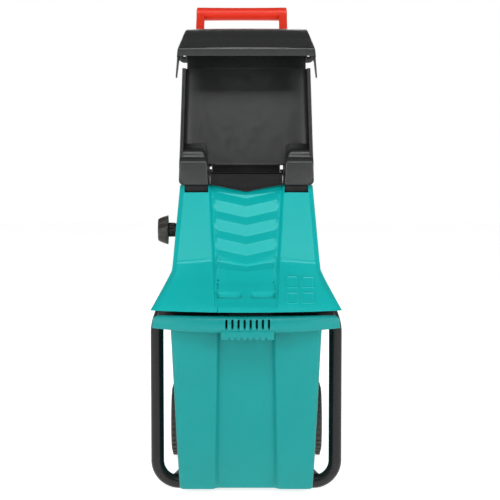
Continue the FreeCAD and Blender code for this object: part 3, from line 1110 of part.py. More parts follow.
def controls():
    panel = box("panel_block", ("dim.panel_left", "dim.rear_low_y", "dim.panel_low_z"),
                ("dim.panel_right", "dim.rear_low_y + dim.panel_t", "dim.panel_top_z"))
    dial_way = rod("panel_dial_hole", "Y", ("dim.dial_x", "dim.rear_low_y - 9", "dim.button_row_z"),
                   "dim.dial_r", "40")
    reset_way = rod("panel_reset_hole", "Y", ("dim.dial_x", "dim.rear_low_y - 9", "dim.low_row_z"),
                    "dim.reset_r + dim.button_gap", "40")
    finish("switch_panel", cut(
        "switch_panel", panel,
        control_bar("panel_start_hole", "dim.start_x", "dim.button_w/2 + dim.button_gap"),
        control_bar("panel_stop_hole", "dim.stop_x", "dim.button_w/2 + dim.button_gap"),
        dial_way, reset_way, socket_bar("panel_socket_hole", "0", "-30", "30")))

    proud = "dim.rear_low_y + dim.panel_t + dim.button_proud"
    button_low, button_top = "dim.button_row_z - dim.button_w/2", "dim.button_row_z + dim.button_w/2"
    for label, x in (("start_button", "dim.start_x"), ("stop_button", "dim.stop_x")):
        finish(label, box(label, (f"{x} - dim.button_w/2", "dim.rear_low_y - 3", button_low),
                          (f"{x} + dim.button_w/2", proud, button_top)))
    finish("reset_button", rod("reset_button", "Y", ("dim.dial_x", "dim.rear_low_y - 3", "dim.low_row_z"),
                               "dim.reset_r", f"{proud} - 2 - (dim.rear_low_y - 3)"))

    plug = rod("dial_stem", "Y", ("dim.dial_x", "dim.rear_low_y - 5", "dim.button_row_z"),
               "dim.dial_r - 0.1", "dim.panel_t + 8")
    grip_half = "dim.dial_r - 1.5"
    grip = box("dial_grip", ("dim.dial_x - 3.5", "dim.rear_low_y", f"dim.button_row_z - ({grip_half})"),
               ("dim.dial_x + 3.5", "dim.rear_low_y + dim.panel_t + 13", f"dim.button_row_z + {grip_half}"))
    finish("direction_switch", fuse("direction_switch", plug, grip))

    block = box("box_block", ("dim.panel_left + 6", "dim.rear_low_y - 48", "dim.plate_z + dim.plate_t"),
                ("dim.panel_right - 6", "dim.rear_low_y - 9", "dim.panel_top_z"))
    room = box("box_room", ("dim.panel_left + 9", "dim.rear_low_y - 45", "dim.plate_z + dim.plate_t + 3"),
               ("dim.panel_right - 9", "dim.rear_low_y - 12", "dim.panel_top_z - 3"))
    finish("control_box", cut("control_box", block, room))

    shell = socket_bar("inlet_shell", "0", "-8.7", "6")
    hollow = socket_bar("inlet_hollow", "3", "-5", "7")
    pin_places = ((-9, -2), (9, -2), (0, 4))
    pins = [
        rod(f"inlet_pin_{i}", "Y", (f"dim.socket_x + {x}", "dim.rear_low_y - 6", f"dim.low_row_z + {z}"),
            "2", "6")
        for i, (x, z) in enumerate(pin_places)
    ]
    finish("power_inlet", fuse("power_inlet", cut("inlet_cup", shell, hollow), *pins))

    heads = []
    for i, (x, z) in enumerate(screw_places()):
        head = rod(f"cover_screw_head_{i}", "Y", (x, "dim.rear_low_y", z), "4.5", "2.8")
        shank = rod(f"cover_screw_shank_{i}", "Y", (x, "dim.rear_low_y - 13", z), "2.2", "13")
        heads.append(fuse(f"cover_screw_{i}", head, shank))
    finish("cover_screws", group("cover_screws", *heads))


frame()
wheels()
collection_bin()
chassis()
covers()
hopper()
hood()
cutting_unit()
knob()
gearbox()
motor()
controls()
DOC.recompute()

for thing in DOC.Objects:
    if "Invalid" in thing.State or "Error" in thing.State:
        raise RuntimeError(f"{thing.Name} failed: {thing.State}")
os.makedirs("parts", exist_ok=True)
for thing in FINISHED:
    if thing.Shape.isNull() or not thing.Shape.isValid() or not thing.Shape.Solids:
        raise RuntimeError(f"{thing.Label} has no valid solid")
    thing.Shape.exportStep(f"parts/{thing.Label}.step")
print(f"{len(FINISHED)} sub-parts written")
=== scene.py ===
import math

import bmesh
import bpy
from mathutils import Matrix, Vector


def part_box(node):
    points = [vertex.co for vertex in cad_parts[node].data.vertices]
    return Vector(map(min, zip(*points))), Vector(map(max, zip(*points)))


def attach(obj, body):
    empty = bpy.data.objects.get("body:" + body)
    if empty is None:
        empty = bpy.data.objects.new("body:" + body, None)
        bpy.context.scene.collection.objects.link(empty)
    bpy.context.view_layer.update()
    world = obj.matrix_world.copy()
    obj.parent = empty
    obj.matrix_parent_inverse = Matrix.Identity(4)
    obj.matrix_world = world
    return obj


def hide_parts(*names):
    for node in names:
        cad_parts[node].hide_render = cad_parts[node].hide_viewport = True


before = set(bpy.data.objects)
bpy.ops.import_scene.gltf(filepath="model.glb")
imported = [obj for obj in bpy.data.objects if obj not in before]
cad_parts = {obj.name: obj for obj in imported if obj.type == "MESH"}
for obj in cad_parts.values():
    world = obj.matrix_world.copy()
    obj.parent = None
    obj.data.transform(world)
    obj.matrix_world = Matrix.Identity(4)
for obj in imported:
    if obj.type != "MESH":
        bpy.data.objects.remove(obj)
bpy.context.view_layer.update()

# A garden shredder's looks, built round its packed construction. Shapes below are worked out in
# millimetres in the frame's own axes (X right, Y back, Z up) and made into metres once, in piece().

MM = 0.001
SHELL_WALL = 3


def extent(node):
    """Lowest and highest corner of a construction node, in millimetres."""
    low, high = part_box(node)
    return low / MM, high / MM


# ---- lines and curves ----


def straight(*knots):
    """A value that changes in straight stretches between (place, value) knots."""
    knots = sorted(knots)

    def value(at):
        if at <= knots[0][0]:
            return knots[0][1]
        for (a, low), (b, high) in zip(knots, knots[1:]):
            if at <= b:
                return low + (high - low) * (at - a) / (b - a)
        return knots[-1][1]

    return value


def flowing(*knots):
    """A value that flows smoothly through (place, value) knots without overshooting."""
    knots = sorted(knots)
    places = [k[0] for k in knots]
    values = [k[1] for k in knots]
    chords = [(b[1] - a[1]) / (b[0] - a[0]) for a, b in zip(knots, knots[1:])]
    inner = [0 if a * b <= 0 else 2 * a * b / (a + b) for a, b in zip(chords, chords[1:])]
    slopes = [chords[0], *inner, chords[-1]]

    def value(at):
        if at <= places[0]:
            return values[0] + slopes[0] * (at - places[0])
        if at >= places[-1]:
            return values[-1] + slopes[-1] * (at - places[-1])
        i = next(n for n in range(len(chords)) if at <= places[n + 1])
        span = places[i + 1] - places[i]
        s = (at - places[i]) / span
        return ((1 + 2 * s) * (1 - s) ** 2 * values[i] + s * (1 - s) ** 2 * span * slopes[i]
                + s * s * (3 - 2 * s) * values[i + 1] + s * s * (s - 1) * span * slopes[i + 1])

    return value


def softened(value, reach):
    """The same line with its corners eased over a short reach."""
    return lambda at: (value(at - reach) + 2 * value(at) + value(at + reach)) / 4


def ease(share):
    share = min(max(share, 0.0), 1.0)
    return share * share * (3 - 2 * share)


def spread(start, end, count):
    """count + 1 evenly spaced values from start to end."""
    return [start + (end - start) * i / count for i in range(count + 1)]


def rounded(corners, radii, steps=4, closed=False):
    """A line through corners with each one rounded off, always with the same number of points."""
    corners = [Vector(c) for c in corners]
    count = len(corners)
    line = []
    for i, corner in enumerate(corners):
        if not closed and i in (0, count - 1):
            line.append(corner)
            continue
        before = corners[i - 1] - corner
        after = corners[(i + 1) % count] - corner
        reach = min(radii[i], 0.48 * before.length, 0.48 * after.length)
        start = corner + before.normalized() * reach
        end = corner + after.normalized() * reach
        for t in spread(0, 1, steps):
            line.append(start * (1 - t) ** 2 + corner * 2 * t * (1 - t) + end * t * t)
    return line


# ---- making meshes ----


def piece(name, points, faces):
    """A new object from points in millimetres."""
    mesh = bpy.data.meshes.new(name)
    mesh.from_pydata([Vector(p) * MM for p in points], [], faces)
    made = bpy.data.objects.new(name, mesh)
    bpy.context.scene.collection.objects.link(made)
    return made


def face_outwards(made):
    work = bmesh.new()
    work.from_mesh(made.data)
    bmesh.ops.remove_doubles(work, verts=work.verts, dist=1e-6)
    bmesh.ops.recalc_face_normals(work, faces=work.faces)
    work.to_mesh(made.data)
    work.free()
    return made


def surface(name, rows, ring=False, capped=False):
    """A mesh through rows of points. A ring joins each row's ends, and caps close the first and last row."""
    columns = len(rows[0])
    last = columns if ring else columns - 1
    faces = [
        (r * columns + c, r * columns + (c + 1) % columns,
         (r + 1) * columns + (c + 1) % columns, (r + 1) * columns + c)
        for r in range(len(rows) - 1) for c in range(last)
    ]
    if capped:
        faces.append(tuple(reversed(range(columns))))
        faces.append(tuple(range((len(rows) - 1) * columns, len(rows) * columns)))
    made = piece(name, [p for row in rows for p in row], faces)
    return face_outwards(made) if capped else made


def modified(made, kind, **settings):
    """Adds a modifier and sets its values."""
    modifier = made.modifiers.new(kind.lower(), kind)
    for key, value in settings.items():
        setattr(modifier, key, value)
    return made


def settled(made):
    """Turns the piece's modifiers into plain mesh."""
    bpy.context.view_layer.update()
    seen = made.evaluated_get(bpy.context.evaluated_depsgraph_get())
    mesh = bpy.data.meshes.new_from_object(seen)
    made.modifiers.clear()
    made.data = mesh
    return made


def walled(made, thickness, lowest=None):
    """Gives an open sheet its wall, on the inner side, closes its edges and cuts it level below."""
    modified(made, "SOLIDIFY", thickness=thickness * MM, offset=-1)
    settled(made)
    for vertex in made.data.vertices:
        if lowest is not None and vertex.co.z < lowest * MM:
            vertex.co.z = lowest * MM
    return face_outwards(made)


def named(made, name):
    made.name = made.data.name = name
    return made


def softly_edged(made, width, steps=2, angle=30):
    """Rounds every edge sharper than the angle."""
    modified(made, "BEVEL", width=width * MM, segments=steps, limit_method="ANGLE",
             angle_limit=math.radians(angle), use_clamp_overlap=True)
    return settled(made)


def carved(made, *cutters):
    """Cuts the cutters out of the piece and discards them."""
    for cutter in cutters:
        modified(made, "BOOLEAN", object=cutter, operation="DIFFERENCE", solver="EXACT", use_self=True)
        settled(made)
        bpy.data.objects.remove(cutter)
    return made


def joined(first, *others):
    """Puts several pieces' meshes into the first one."""
    work = bmesh.new()
    for made in (first, *others):
        work.from_mesh(made.data)
    work.to_mesh(first.data)
    work.free()
    for made in others:
        bpy.data.objects.remove(made)
    return first


X_TO_Y = Matrix.Rotation(math.radians(90), 4, "Z")


def moved(made, offset, turn=None):
    """Moves a piece's mesh, turned first if a matrix is given."""
    if turn is not None:
        made.data.transform(turn)
    made.data.transform(Matrix.Translation(Vector(offset) * MM))
    return made


def mirrored(made, name):
    """The piece's copy on the machine's other side."""
    copy = bpy.data.objects.new(name, made.data.copy())
    bpy.context.scene.collection.objects.link(copy)
    copy.data.transform(Matrix.Scale(-1, 4, (1, 0, 0)))
    return face_outwards(copy)


def prism(name, outline, axis, start, end):
    """A straight bar with the given outline in the two other axes, in their own order."""
    def place(point, along):
        values = list(point)
        values.insert("XYZ".index(axis), along)
        return values

    rows = [[place(p, along) for p in outline] for along in (start, end)]
    return surface(name, rows, ring=True, capped=True)


def block(name, low, high):
    (x0, y0, z0), (x1, y1, z1) = low, high
    return prism(name, [(x0, y0), (x1, y0), (x1, y1), (x0, y1)], "Z", z0, z1)


def soft_block(name, low, high, radius, edge=1.0):
    """A block with round corners seen along Y and soft edges all over."""
    (x0, y0, z0), (x1, y1, z1) = low, high
    outline = rounded([(x0, z0), (x1, z0), (x1, z1), (x0, z1)], [radius] * 4, 5, closed=True)
    return softly_edged(prism(name, outline, "Y", y0, y1), edge, 2, 50)


def lathe(name, profile, steps=64, lobes=None):
    """Turns (along X, radius) points about the X axis. lobes(angle, x) scales the radius."""
    rows = []
    for x, radius in profile:
        ring = []
        for i in range(steps):
            angle = 2 * math.pi * i / steps
            reach = radius * (lobes(angle, x) if lobes else 1)
            ring.append((x, reach * math.cos(angle), reach * math.sin(angle)))
        rows.append(ring)
    return surface(name, rows, ring=True, capped=True)


# ---- node trees ----


class Wiring:
    """Short calls for building a node tree."""

    def __init__(self, tree):
        self.tree = tree

    def node(self, kind, inputs=None, **settings):
        made = self.tree.nodes.new(kind)
        for key, value in settings.items():
            setattr(made, key, value)
        for key, value in (inputs or {}).items():
            if isinstance(value, bpy.types.NodeSocket):
                self.tree.links.new(value, made.inputs[key])
            else:
                made.inputs[key].default_value = value
        return made

    def maths(self, operation, a, b=0.0, clamp=False):
        made = self.node("ShaderNodeMath", {0: a, 1: b}, operation=operation, use_clamp=clamp)
        return made.outputs[0]

    def band(self, value, low, high, to_low=0.0, to_high=1.0):
        """Maps a value between two limits, held at both."""
        made = self.node("ShaderNodeMapRange", {
            "Value": value, "From Min": low, "From Max": high, "To Min": to_low, "To Max": to_high})
        return made.outputs["Result"]

    def blend(self, share, a, b):
        made = self.node("ShaderNodeMix", data_type="RGBA")
        for socket, value in ((made.inputs[0], share), (made.inputs[6], a), (made.inputs[7], b)):
            if isinstance(value, bpy.types.NodeSocket):
                self.tree.links.new(value, socket)
            else:
                socket.default_value = value
        return made.outputs[2]

    def toned(self, main, factor):
        """A colour made lighter or darker by a factor."""
        return self.node("ShaderNodeVectorMath", {0: main[:3], "Scale": factor}, operation="SCALE").outputs[0]

    def place(self):
        return self.node("ShaderNodeTexCoord").outputs["Object"]

    def noise(self, place, scale, detail=2.0, roughness=0.5):
        made = self.node("ShaderNodeTexNoise", {
            "Vector": place, "Scale": scale, "Detail": detail, "Roughness": roughness})
        return made.outputs["Fac"]


# ---- repeating with geometry nodes ----


def repeat_tree():
    """Copies a mesh in a row, round a centre, or both: copy n is moved n steps and turned n turns."""
    tree = bpy.data.node_groups.new("repeat_in_steps", "GeometryNodeTree")
    face = tree.interface
    for name, kind in (("Geometry", "Geometry"), ("Copies", "Int"), ("Step", "Vector"), ("Turn", "Vector"),
                       ("Finish", "Material")):
        face.new_socket(name=name, in_out="INPUT", socket_type="NodeSocket" + kind)
    face.new_socket(name="Geometry", in_out="OUTPUT", socket_type="NodeSocketGeometry")
    wiring = Wiring(tree)
    taken = wiring.node("NodeGroupInput").outputs
    index = wiring.node("GeometryNodeInputIndex").outputs["Index"]
    place, turn = (wiring.node("ShaderNodeVectorMath", {0: taken[name], "Scale": index},
                               operation="SCALE").outputs[0] for name in ("Step", "Turn"))
    points = wiring.node("GeometryNodePoints", {"Count": taken["Copies"], "Position": place})
    copies = wiring.node("GeometryNodeInstanceOnPoints", {
        "Points": points.outputs[0], "Instance": taken["Geometry"], "Rotation": turn})
    real = wiring.node("GeometryNodeRealizeInstances", {"Geometry": copies.outputs[0]})
    paint = wiring.node("GeometryNodeSetMaterial", {"Geometry": real.outputs[0], "Material": taken["Finish"]})
    wiring.node("NodeGroupOutput", {"Geometry": paint.outputs[0]})
    return tree


REPEAT = repeat_tree()
REPEAT_INPUTS = {s.name: s.identifier for s in REPEAT.interface.items_tree if s.in_out == "INPUT"}


def repeated(made, copies, step=(0, 0, 0), turn=(0, 0, 0), finish=None):
    """The piece, copied in steps of millimetres and turns of degrees."""
    modifier = made.modifiers.new("repeat", "NODES")
    modifier.node_group = REPEAT
    modifier[REPEAT_INPUTS["Copies"]] = copies
    modifier[REPEAT_INPUTS["Step"]] = [s * MM for s in step]
    modifier[REPEAT_INPUTS["Turn"]] = [math.radians(t) for t in turn]
    if finish:
        modifier[REPEAT_INPUTS["Finish"]] = finish
    return settled(made)


# ---- finishes: shared effects ----


def effect(name, inputs, outputs):
    """An empty shader node group with named values in and out."""
    tree = bpy.data.node_groups.new(name, "ShaderNodeTree")
    for label, value in inputs.items():
        socket = tree.interface.new_socket(name=label, in_out="INPUT", socket_type="NodeSocketFloat")
        socket.default_value = value
    for label in outputs:
        tree.interface.new_socket(name=label, in_out="OUTPUT", socket_type="NodeSocketFloat")
    wiring = Wiring(tree)
    taken = wiring.node("NodeGroupInput")
    given = wiring.node("NodeGroupOutput")
    return tree, wiring, taken.outputs, given.inputs


def moulded_grain():
    """The fine leathery grain of a textured mould, with slow unevenness of colour and gloss."""
    tree, w, taken, given = effect(
        "moulded_grain", {"Grain Per Metre": 1400.0, "Unevenness": 0.05},
        ["Height", "Tone", "Gloss"])
    place = w.place()
    pits = w.node("ShaderNodeTexVoronoi", {"Vector": place, "Scale": taken["Grain Per Metre"]},
                  feature="SMOOTH_F1").outputs["Distance"]
    fine = w.noise(place, taken["Grain Per Metre"], 3.0)
    height = w.maths("ADD", w.maths("MULTIPLY", pits, 0.6), w.maths("MULTIPLY", fine, 0.5))
    slow = w.noise(place, 7.0, 2.0)
    flow = w.noise(place, 55.0, 3.0)
    both = w.maths("SUBTRACT", w.maths("ADD", slow, w.maths("MULTIPLY", flow, 0.5)), 0.75)
    tone = w.maths("ADD", 1.0, w.maths("MULTIPLY", both, taken["Unevenness"]))
    w.tree.links.new(height, given["Height"])
    w.tree.links.new(tone, given["Tone"])
    w.tree.links.new(w.band(flow, 0.3, 0.7, -0.04, 0.05), given["Gloss"])
    return tree


def edge_wear():
    """Where handling rubs: corners that stand out, broken up by noise."""
    tree, w, taken, given = effect(
        "edge_wear", {"Amount": 0.5, "Patch Size": 60.0}, ["Mask"])
    place = w.place()
    stand_out = w.band(w.node("ShaderNodeNewGeometry").outputs["Pointiness"], 0.505, 0.56)
    patches = w.band(w.noise(place, taken["Patch Size"], 4.0, 0.6), 0.42, 0.62)
    mask = w.maths("MULTIPLY", w.maths("MULTIPLY", stand_out, patches), taken["Amount"], clamp=True)
    w.tree.links.new(mask, given["Mask"])
    return tree


def settled_dust():
    """Pale dust: on faces that look up, and thrown up a little way from the ground."""
    tree, w, taken, given = effect(
        "settled_dust", {"Amount": 0.3, "Reach": 0.12}, ["Mask"])
    place = w.place()
    level = w.node("ShaderNodeSeparateXYZ", {0: place}).outputs["Z"]
    low = w.maths("SUBTRACT", 1.0, w.maths("DIVIDE", level, taken["Reach"]), clamp=True)
    up = w.node("ShaderNodeSeparateXYZ", {0: w.node("ShaderNodeNewGeometry").outputs["Normal"]}).outputs["Z"]
    lying = w.maths("MULTIPLY", w.band(up, 0.5, 1.0), 0.5)
    specks = w.band(w.noise(place, 420.0, 5.0, 0.7), 0.4, 0.75)
    mask = w.maths("MULTIPLY", w.maths("MAXIMUM", low, lying), specks)
    w.tree.links.new(w.maths("MULTIPLY", mask, taken["Amount"], clamp=True), given["Mask"])
    return tree


def brushed_lines():
    """Fine lines of machining along one direction, in gloss and height."""
    tree, w, taken, given = effect(
        "brushed_lines", {"Lines Per Metre": 900.0, "Stretch": 0.04}, ["Height", "Gloss"])
    place = w.place()
    parts = w.node("ShaderNodeSeparateXYZ", {0: place}).outputs
    along = w.maths("MULTIPLY", parts["X"], taken["Stretch"])
    drawn = w.node("ShaderNodeCombineXYZ", {"X": along, "Y": parts["Y"], "Z": parts["Z"]}).outputs[0]
    lines = w.noise(drawn, taken["Lines Per Metre"], 2.0)
    w.tree.links.new(lines, given["Height"])
    w.tree.links.new(w.band(lines, 0.3, 0.7, -0.06, 0.08), given["Gloss"])
    return tree


GRAIN = moulded_grain()
WEAR = edge_wear()
DUST = settled_dust()
LINES = brushed_lines()


# ---- finishes: materials ----


def colour(red, green, blue):
    """A screen colour of 0 to 255 as the renderer's own light values."""
    return tuple((c / 255 / 12.92 if c < 10 else ((c / 255 + 0.055) / 1.055) ** 2.4)
                 for c in (red, green, blue)) + (1.0,)


def start_material(name, roughness, metallic=0.0, shine=0.5):
    made = bpy.data.materials.new(name)
    made.use_nodes = True
    shader = made.node_tree.nodes["Principled BSDF"]
    shader.inputs["Roughness"].default_value = roughness
    shader.inputs["Metallic"].default_value = metallic
    shader.inputs["Specular IOR Level"].default_value = shine
    return made, shader, Wiring(made.node_tree)


def finished(shader, w, main, gloss, height, strength, depth):
    """Joins colour, roughness and a relief of so many millimetres to the shader."""
    bump = w.node("ShaderNodeBump", {"Strength": strength, "Distance": depth * MM, "Height": height})
    for socket, value in (("Base Color", main), ("Roughness", gloss), ("Normal", bump.outputs[0])):
        if value is not None:
            w.tree.links.new(value, shader.inputs[socket])


def use(w, tree, **values):
    """Places a shared effect in a material with this material's own values."""
    made = w.node("ShaderNodeGroup", node_tree=tree)
    for key, value in values.items():
        made.inputs[key.replace("_", " ")].default_value = value
    return made.outputs


def moulded_plastic(name, main, worn, roughness, grain=1400.0, relief=0.03, wear=0.35, dust=0.05, shine=0.4):
    """Injection-moulded plastic: grain, slow colour change, whitened corners and a little dust."""
    made, shader, w = start_material(name, roughness, shine=shine)
    grained = use(w, GRAIN, Grain_Per_Metre=grain, Unevenness=0.10)
    rubbed = use(w, WEAR, Amount=wear, Patch_Size=70.0)["Mask"]
    dusty = use(w, DUST, Amount=dust, Reach=0.15)["Mask"]
    handled = w.blend(rubbed, w.toned(main, grained["Tone"]), worn)
    gloss = w.maths("ADD", w.maths("ADD", roughness, grained["Gloss"]), w.maths("MULTIPLY", dusty, 0.3),
                    clamp=True)
    finished(shader, w, w.blend(dusty, handled, colour(176, 168, 150)), gloss, grained["Height"], 0.5, relief)
    return made


def coated_metal(name, main, roughness, dust=0.25):
    """Powder-coated steel: slight orange peel, rubbed corners and ground dust."""
    made, shader, w = start_material(name, roughness, shine=0.3)
    place = w.place()
    peel = w.noise(place, 420.0, 2.0)
    slow = w.noise(place, 12.0, 3.0)
    dusty = use(w, DUST, Amount=dust, Reach=0.10)["Mask"]
    toned = w.toned(main, w.band(slow, 0.3, 0.7, 0.85, 1.2))
    gloss = w.maths("ADD", w.band(slow, 0.3, 0.7, roughness - 0.05, roughness + 0.06),
                    w.maths("MULTIPLY", dusty, 0.35), clamp=True)
    finished(shader, w, w.blend(dusty, toned, colour(150, 142, 126)), gloss, peel, 0.2, 0.05)
    return made


def machined_metal(name, main, roughness, lines=900.0, oil=0.0):
    """Steel or aluminium with tool lines, some oxide tone and, if wanted, patches of dark oil."""
    made, shader, w = start_material(name, roughness, metallic=1.0)
    drawn = use(w, LINES, Lines_Per_Metre=lines, Stretch=0.05)
    place = w.place()
    clouds = w.noise(place, 30.0, 4.0, 0.6)
    toned = w.toned(main, w.band(clouds, 0.3, 0.7, 0.82, 1.1))
    patches = w.maths("MULTIPLY", w.band(clouds, 0.5, 0.66), oil, clamp=True)
    gloss = w.maths("ADD", roughness, drawn["Gloss"], clamp=True)
    finished(shader, w, w.blend(patches, toned, colour(38, 30, 22)), gloss, drawn["Height"], 0.3, 0.04)
    return made


def tread_rubber():
    """Hard wheel rubber, dusty between its blocks."""
    made, shader, w = start_material("wheel_rubber", 0.75)
    grained = use(w, GRAIN, Grain_Per_Metre=700.0, Unevenness=0.2)
    dusty = use(w, DUST, Amount=0.45, Reach=0.25)["Mask"]
    toned = w.toned(colour(44, 42, 40), grained["Tone"])
    finished(shader, w, w.blend(dusty, toned, colour(140, 132, 118)), None, grained["Height"], 0.6, 0.15)
    return made


FINISH = {
    "teal": moulded_plastic("teal_housing", colour(0, 161, 159), colour(90, 200, 196), 0.34,
                            wear=0.1, shine=0.27),
    "bin_teal": moulded_plastic("teal_bin", colour(0, 131, 129), colour(90, 190, 186), 0.38,
                                relief=0.05, wear=0.1, shine=0.24),
    "black": moulded_plastic("black_hopper", colour(30, 31, 31), colour(100, 102, 100), 0.34,
                             relief=0.04, wear=0.06, dust=0.0, shine=0.5),
    "dark": moulded_plastic("black_fittings", colour(14, 14, 15), colour(60, 60, 58), 0.5,
                            wear=0.08, shine=0.25),
    "knob": moulded_plastic("knob_plastic", colour(44, 41, 38), colour(110, 106, 100), 0.42,
                            wear=0.2, shine=0.3),
    "red": moulded_plastic("red_handle", colour(214, 44, 22), colour(235, 140, 120), 0.38,
                           wear=0.1, shine=0.3),
    "green": moulded_plastic("green_button", colour(30, 140, 50), colour(120, 190, 130), 0.35),
    "enamel": coated_metal("black_enamel", colour(17, 17, 18), 0.24, dust=0.1),
    "steel": machined_metal("bright_steel", colour(196, 196, 194), 0.28),
    "hard_steel": machined_metal("gear_steel", colour(150, 150, 152), 0.32, 1500.0, 0.6),
    "casting": machined_metal("cast_alloy", colour(168, 168, 170), 0.55, 350.0, 0.15),
    "iron": machined_metal("laminated_iron", colour(120, 108, 98), 0.5, 2000.0, 0.4),
    "rubber": tread_rubber(),
}


def fitted(made, body, finish, *nodes, smooth=32):
    """Shades a finished piece, gives it its material and body, and says which nodes it stands for."""
    mesh = made.data
    mesh.shade_smooth()
    mesh.set_sharp_from_angle(angle=math.radians(smooth))
    mesh.materials.clear()
    mesh.materials.append(FINISH[finish])
    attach(made, body)
    if nodes:
        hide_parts(*nodes)
    return made


# ---- housing ----

COVER_LOW, COVER_HIGH = extent("front_cover")
SKIRT_Z, COVER_TOP_Z = COVER_LOW.z, COVER_HIGH.z
CREASE_Z = 540.0
PARTING_Y = COVER_HIGH.y
FRONT_HALF = straight((SKIRT_Z, COVER_HIGH.x), (521, 177.5), (CREASE_Z, 176), (COVER_TOP_Z, 163))
PARTING_HALF = straight((SKIRT_Z, 215), (485, 193), (CREASE_Z, 174), (COVER_TOP_Z, 162))
UPPER_FRONT = straight((CREASE_Z, -176), (COVER_TOP_Z, -46))
LOWER_FRONT = flowing((SKIRT_Z, -262), (450, -254), (485, -226), (512, -202), (CREASE_Z, -176))
FRONT_BOW = flowing((SKIRT_Z, 43), (450, 38), (485, 21), (520, 5), (CREASE_Z, 0), (COVER_TOP_Z, 0))
CHANNEL_HALF = straight((SKIRT_Z, 72.5), (CREASE_Z, 74), (COVER_TOP_Z, 86))
CHANNEL_DEPTH = flowing((SKIRT_Z, 0), (447, 0.2), (455, 3.5), (475, 7.0), (500, 8.5), (CREASE_Z, 10),
                        (COVER_TOP_Z, 10))
CHANNEL_SIDE = straight((SKIRT_Z, 2), (470, 3), (CREASE_Z, 8), (COVER_TOP_Z, 8.5))
STEP_PITCH = 43.9
STEP_EDGES = [669.6 - STEP_PITCH * i for i in range(4)]
LAST_EDGE = 521.0
STEP_SLANT = flowing((SKIRT_Z, 0), (470, 0), (500, 0.06), (LAST_EDGE, 0.115), (545, 0.2), (560, 0.214),
                     (682, 0.214), (COVER_TOP_Z, 0))


def step_relief():
    """How far the stepped panel stands behind (+) or in front of (-) its mean slope."""
    knots = [(SKIRT_Z, 0), (500, 0.5), (LAST_EDGE, -3.5), (LAST_EDGE + 11, 0.5)]
    for edge in STEP_EDGES:
        knots += [(edge, -4.6), (edge + 18, 3.4)]
    return softened(straight(*knots, (706, 0), (COVER_TOP_Z, 0)), 0.6)


STEP_RELIEF = step_relief()
RECESS_X = (11.0, 66.5)
RECESS_Z = (466.0, 477.5)


def front_y(level):
    """The corner line of the front, at a height."""
    return UPPER_FRONT(level) if level > CREASE_Z else LOWER_FRONT(level)


SOFT_FRONT = softened(front_y, 1.6)


def front_point(x, level):
    """A point of the housing's front at x on the line that meets the corner at this level."""
    half = FRONT_HALF(level)
    channel = CHANNEL_HALF(level)
    reach = abs(x)
    side = CHANNEL_SIDE(level)
    inside = ease((channel + side - reach) / side)
    y = SOFT_FRONT(level) - FRONT_BOW(level) * (1 - (reach / half) ** 2) + CHANNEL_DEPTH(level) * inside
    y += STEP_RELIEF(level) * ease((channel - 1.5 - reach) / 5)
    in_slot = (ease(reach - RECESS_X[0] + 0.5) * ease(RECESS_X[1] - reach + 0.5)
               * ease((level - RECESS_Z[0]) / 1.6 + 0.5) * ease(RECESS_Z[1] - level + 0.5))
    y += (15 - 1.2 * (level - RECESS_Z[0])) * in_slot
    rise = STEP_SLANT(level) * min(reach, channel)
    if reach > channel:
        rise *= (1 - 0.45 * ease((reach - channel) / side)) * (1 - (reach - channel) / (half - channel))
        y -= 0.9 * math.exp(-((level - CREASE_Z - 1) / 2.2) ** 2)
    slope = (front_y(level + 3) - front_y(level - 3)) / 6
    return Vector((x, y + slope * rise, level + rise))


def front_row(level, inset=0.0, lift=None):
    """One level of the front cover, from the left parting edge round to the right one."""
    half = FRONT_HALF(level)
    channel, side = CHANNEL_HALF(level), CHANNEL_SIDE(level)
    corner = straight((SKIRT_Z, 4), (500, 11), (COVER_TOP_Z, 12))(level)
    slots = [0, 4, 8, RECESS_X[0] - 1, RECESS_X[0], RECESS_X[0] + 1, *spread(16, RECESS_X[1] - 4, 12),
             RECESS_X[1] - 1, RECESS_X[1], RECESS_X[1] + 1]
    outer = [channel - 6.5, channel - 4, channel - 1.5, *spread(channel, channel + side, 6),
             *spread(channel + side + 4, half - corner, 8)]
    half_row = [front_point(x, level) for x in [*slots, *outer]]
    last = half_row[-1]
    part = PARTING_HALF(level)
    turn_y = SOFT_FRONT(level) + corner
    turn = Vector((half + (part - half) * corner / (PARTING_Y - turn_y + corner), turn_y, level))
    edge = Vector((part, PARTING_Y, level))
    half_row += rounded([last, last.lerp(turn, 0.12), turn, turn.lerp(edge, 0.12)], [0, 2, 2.5, 0], 3)[1:]
    half_row += [turn.lerp(edge, t) for t in spread(0.12, 1, 7)[1:]]
    if inset:
        half_row = [Vector((max(p.x - inset * p.x / half, 0), min(p.y + inset, PARTING_Y), lift))
                    for p in half_row]
    left = [Vector((-p.x, p.y, p.z)) for p in reversed(half_row[1:])]
    return left + half_row


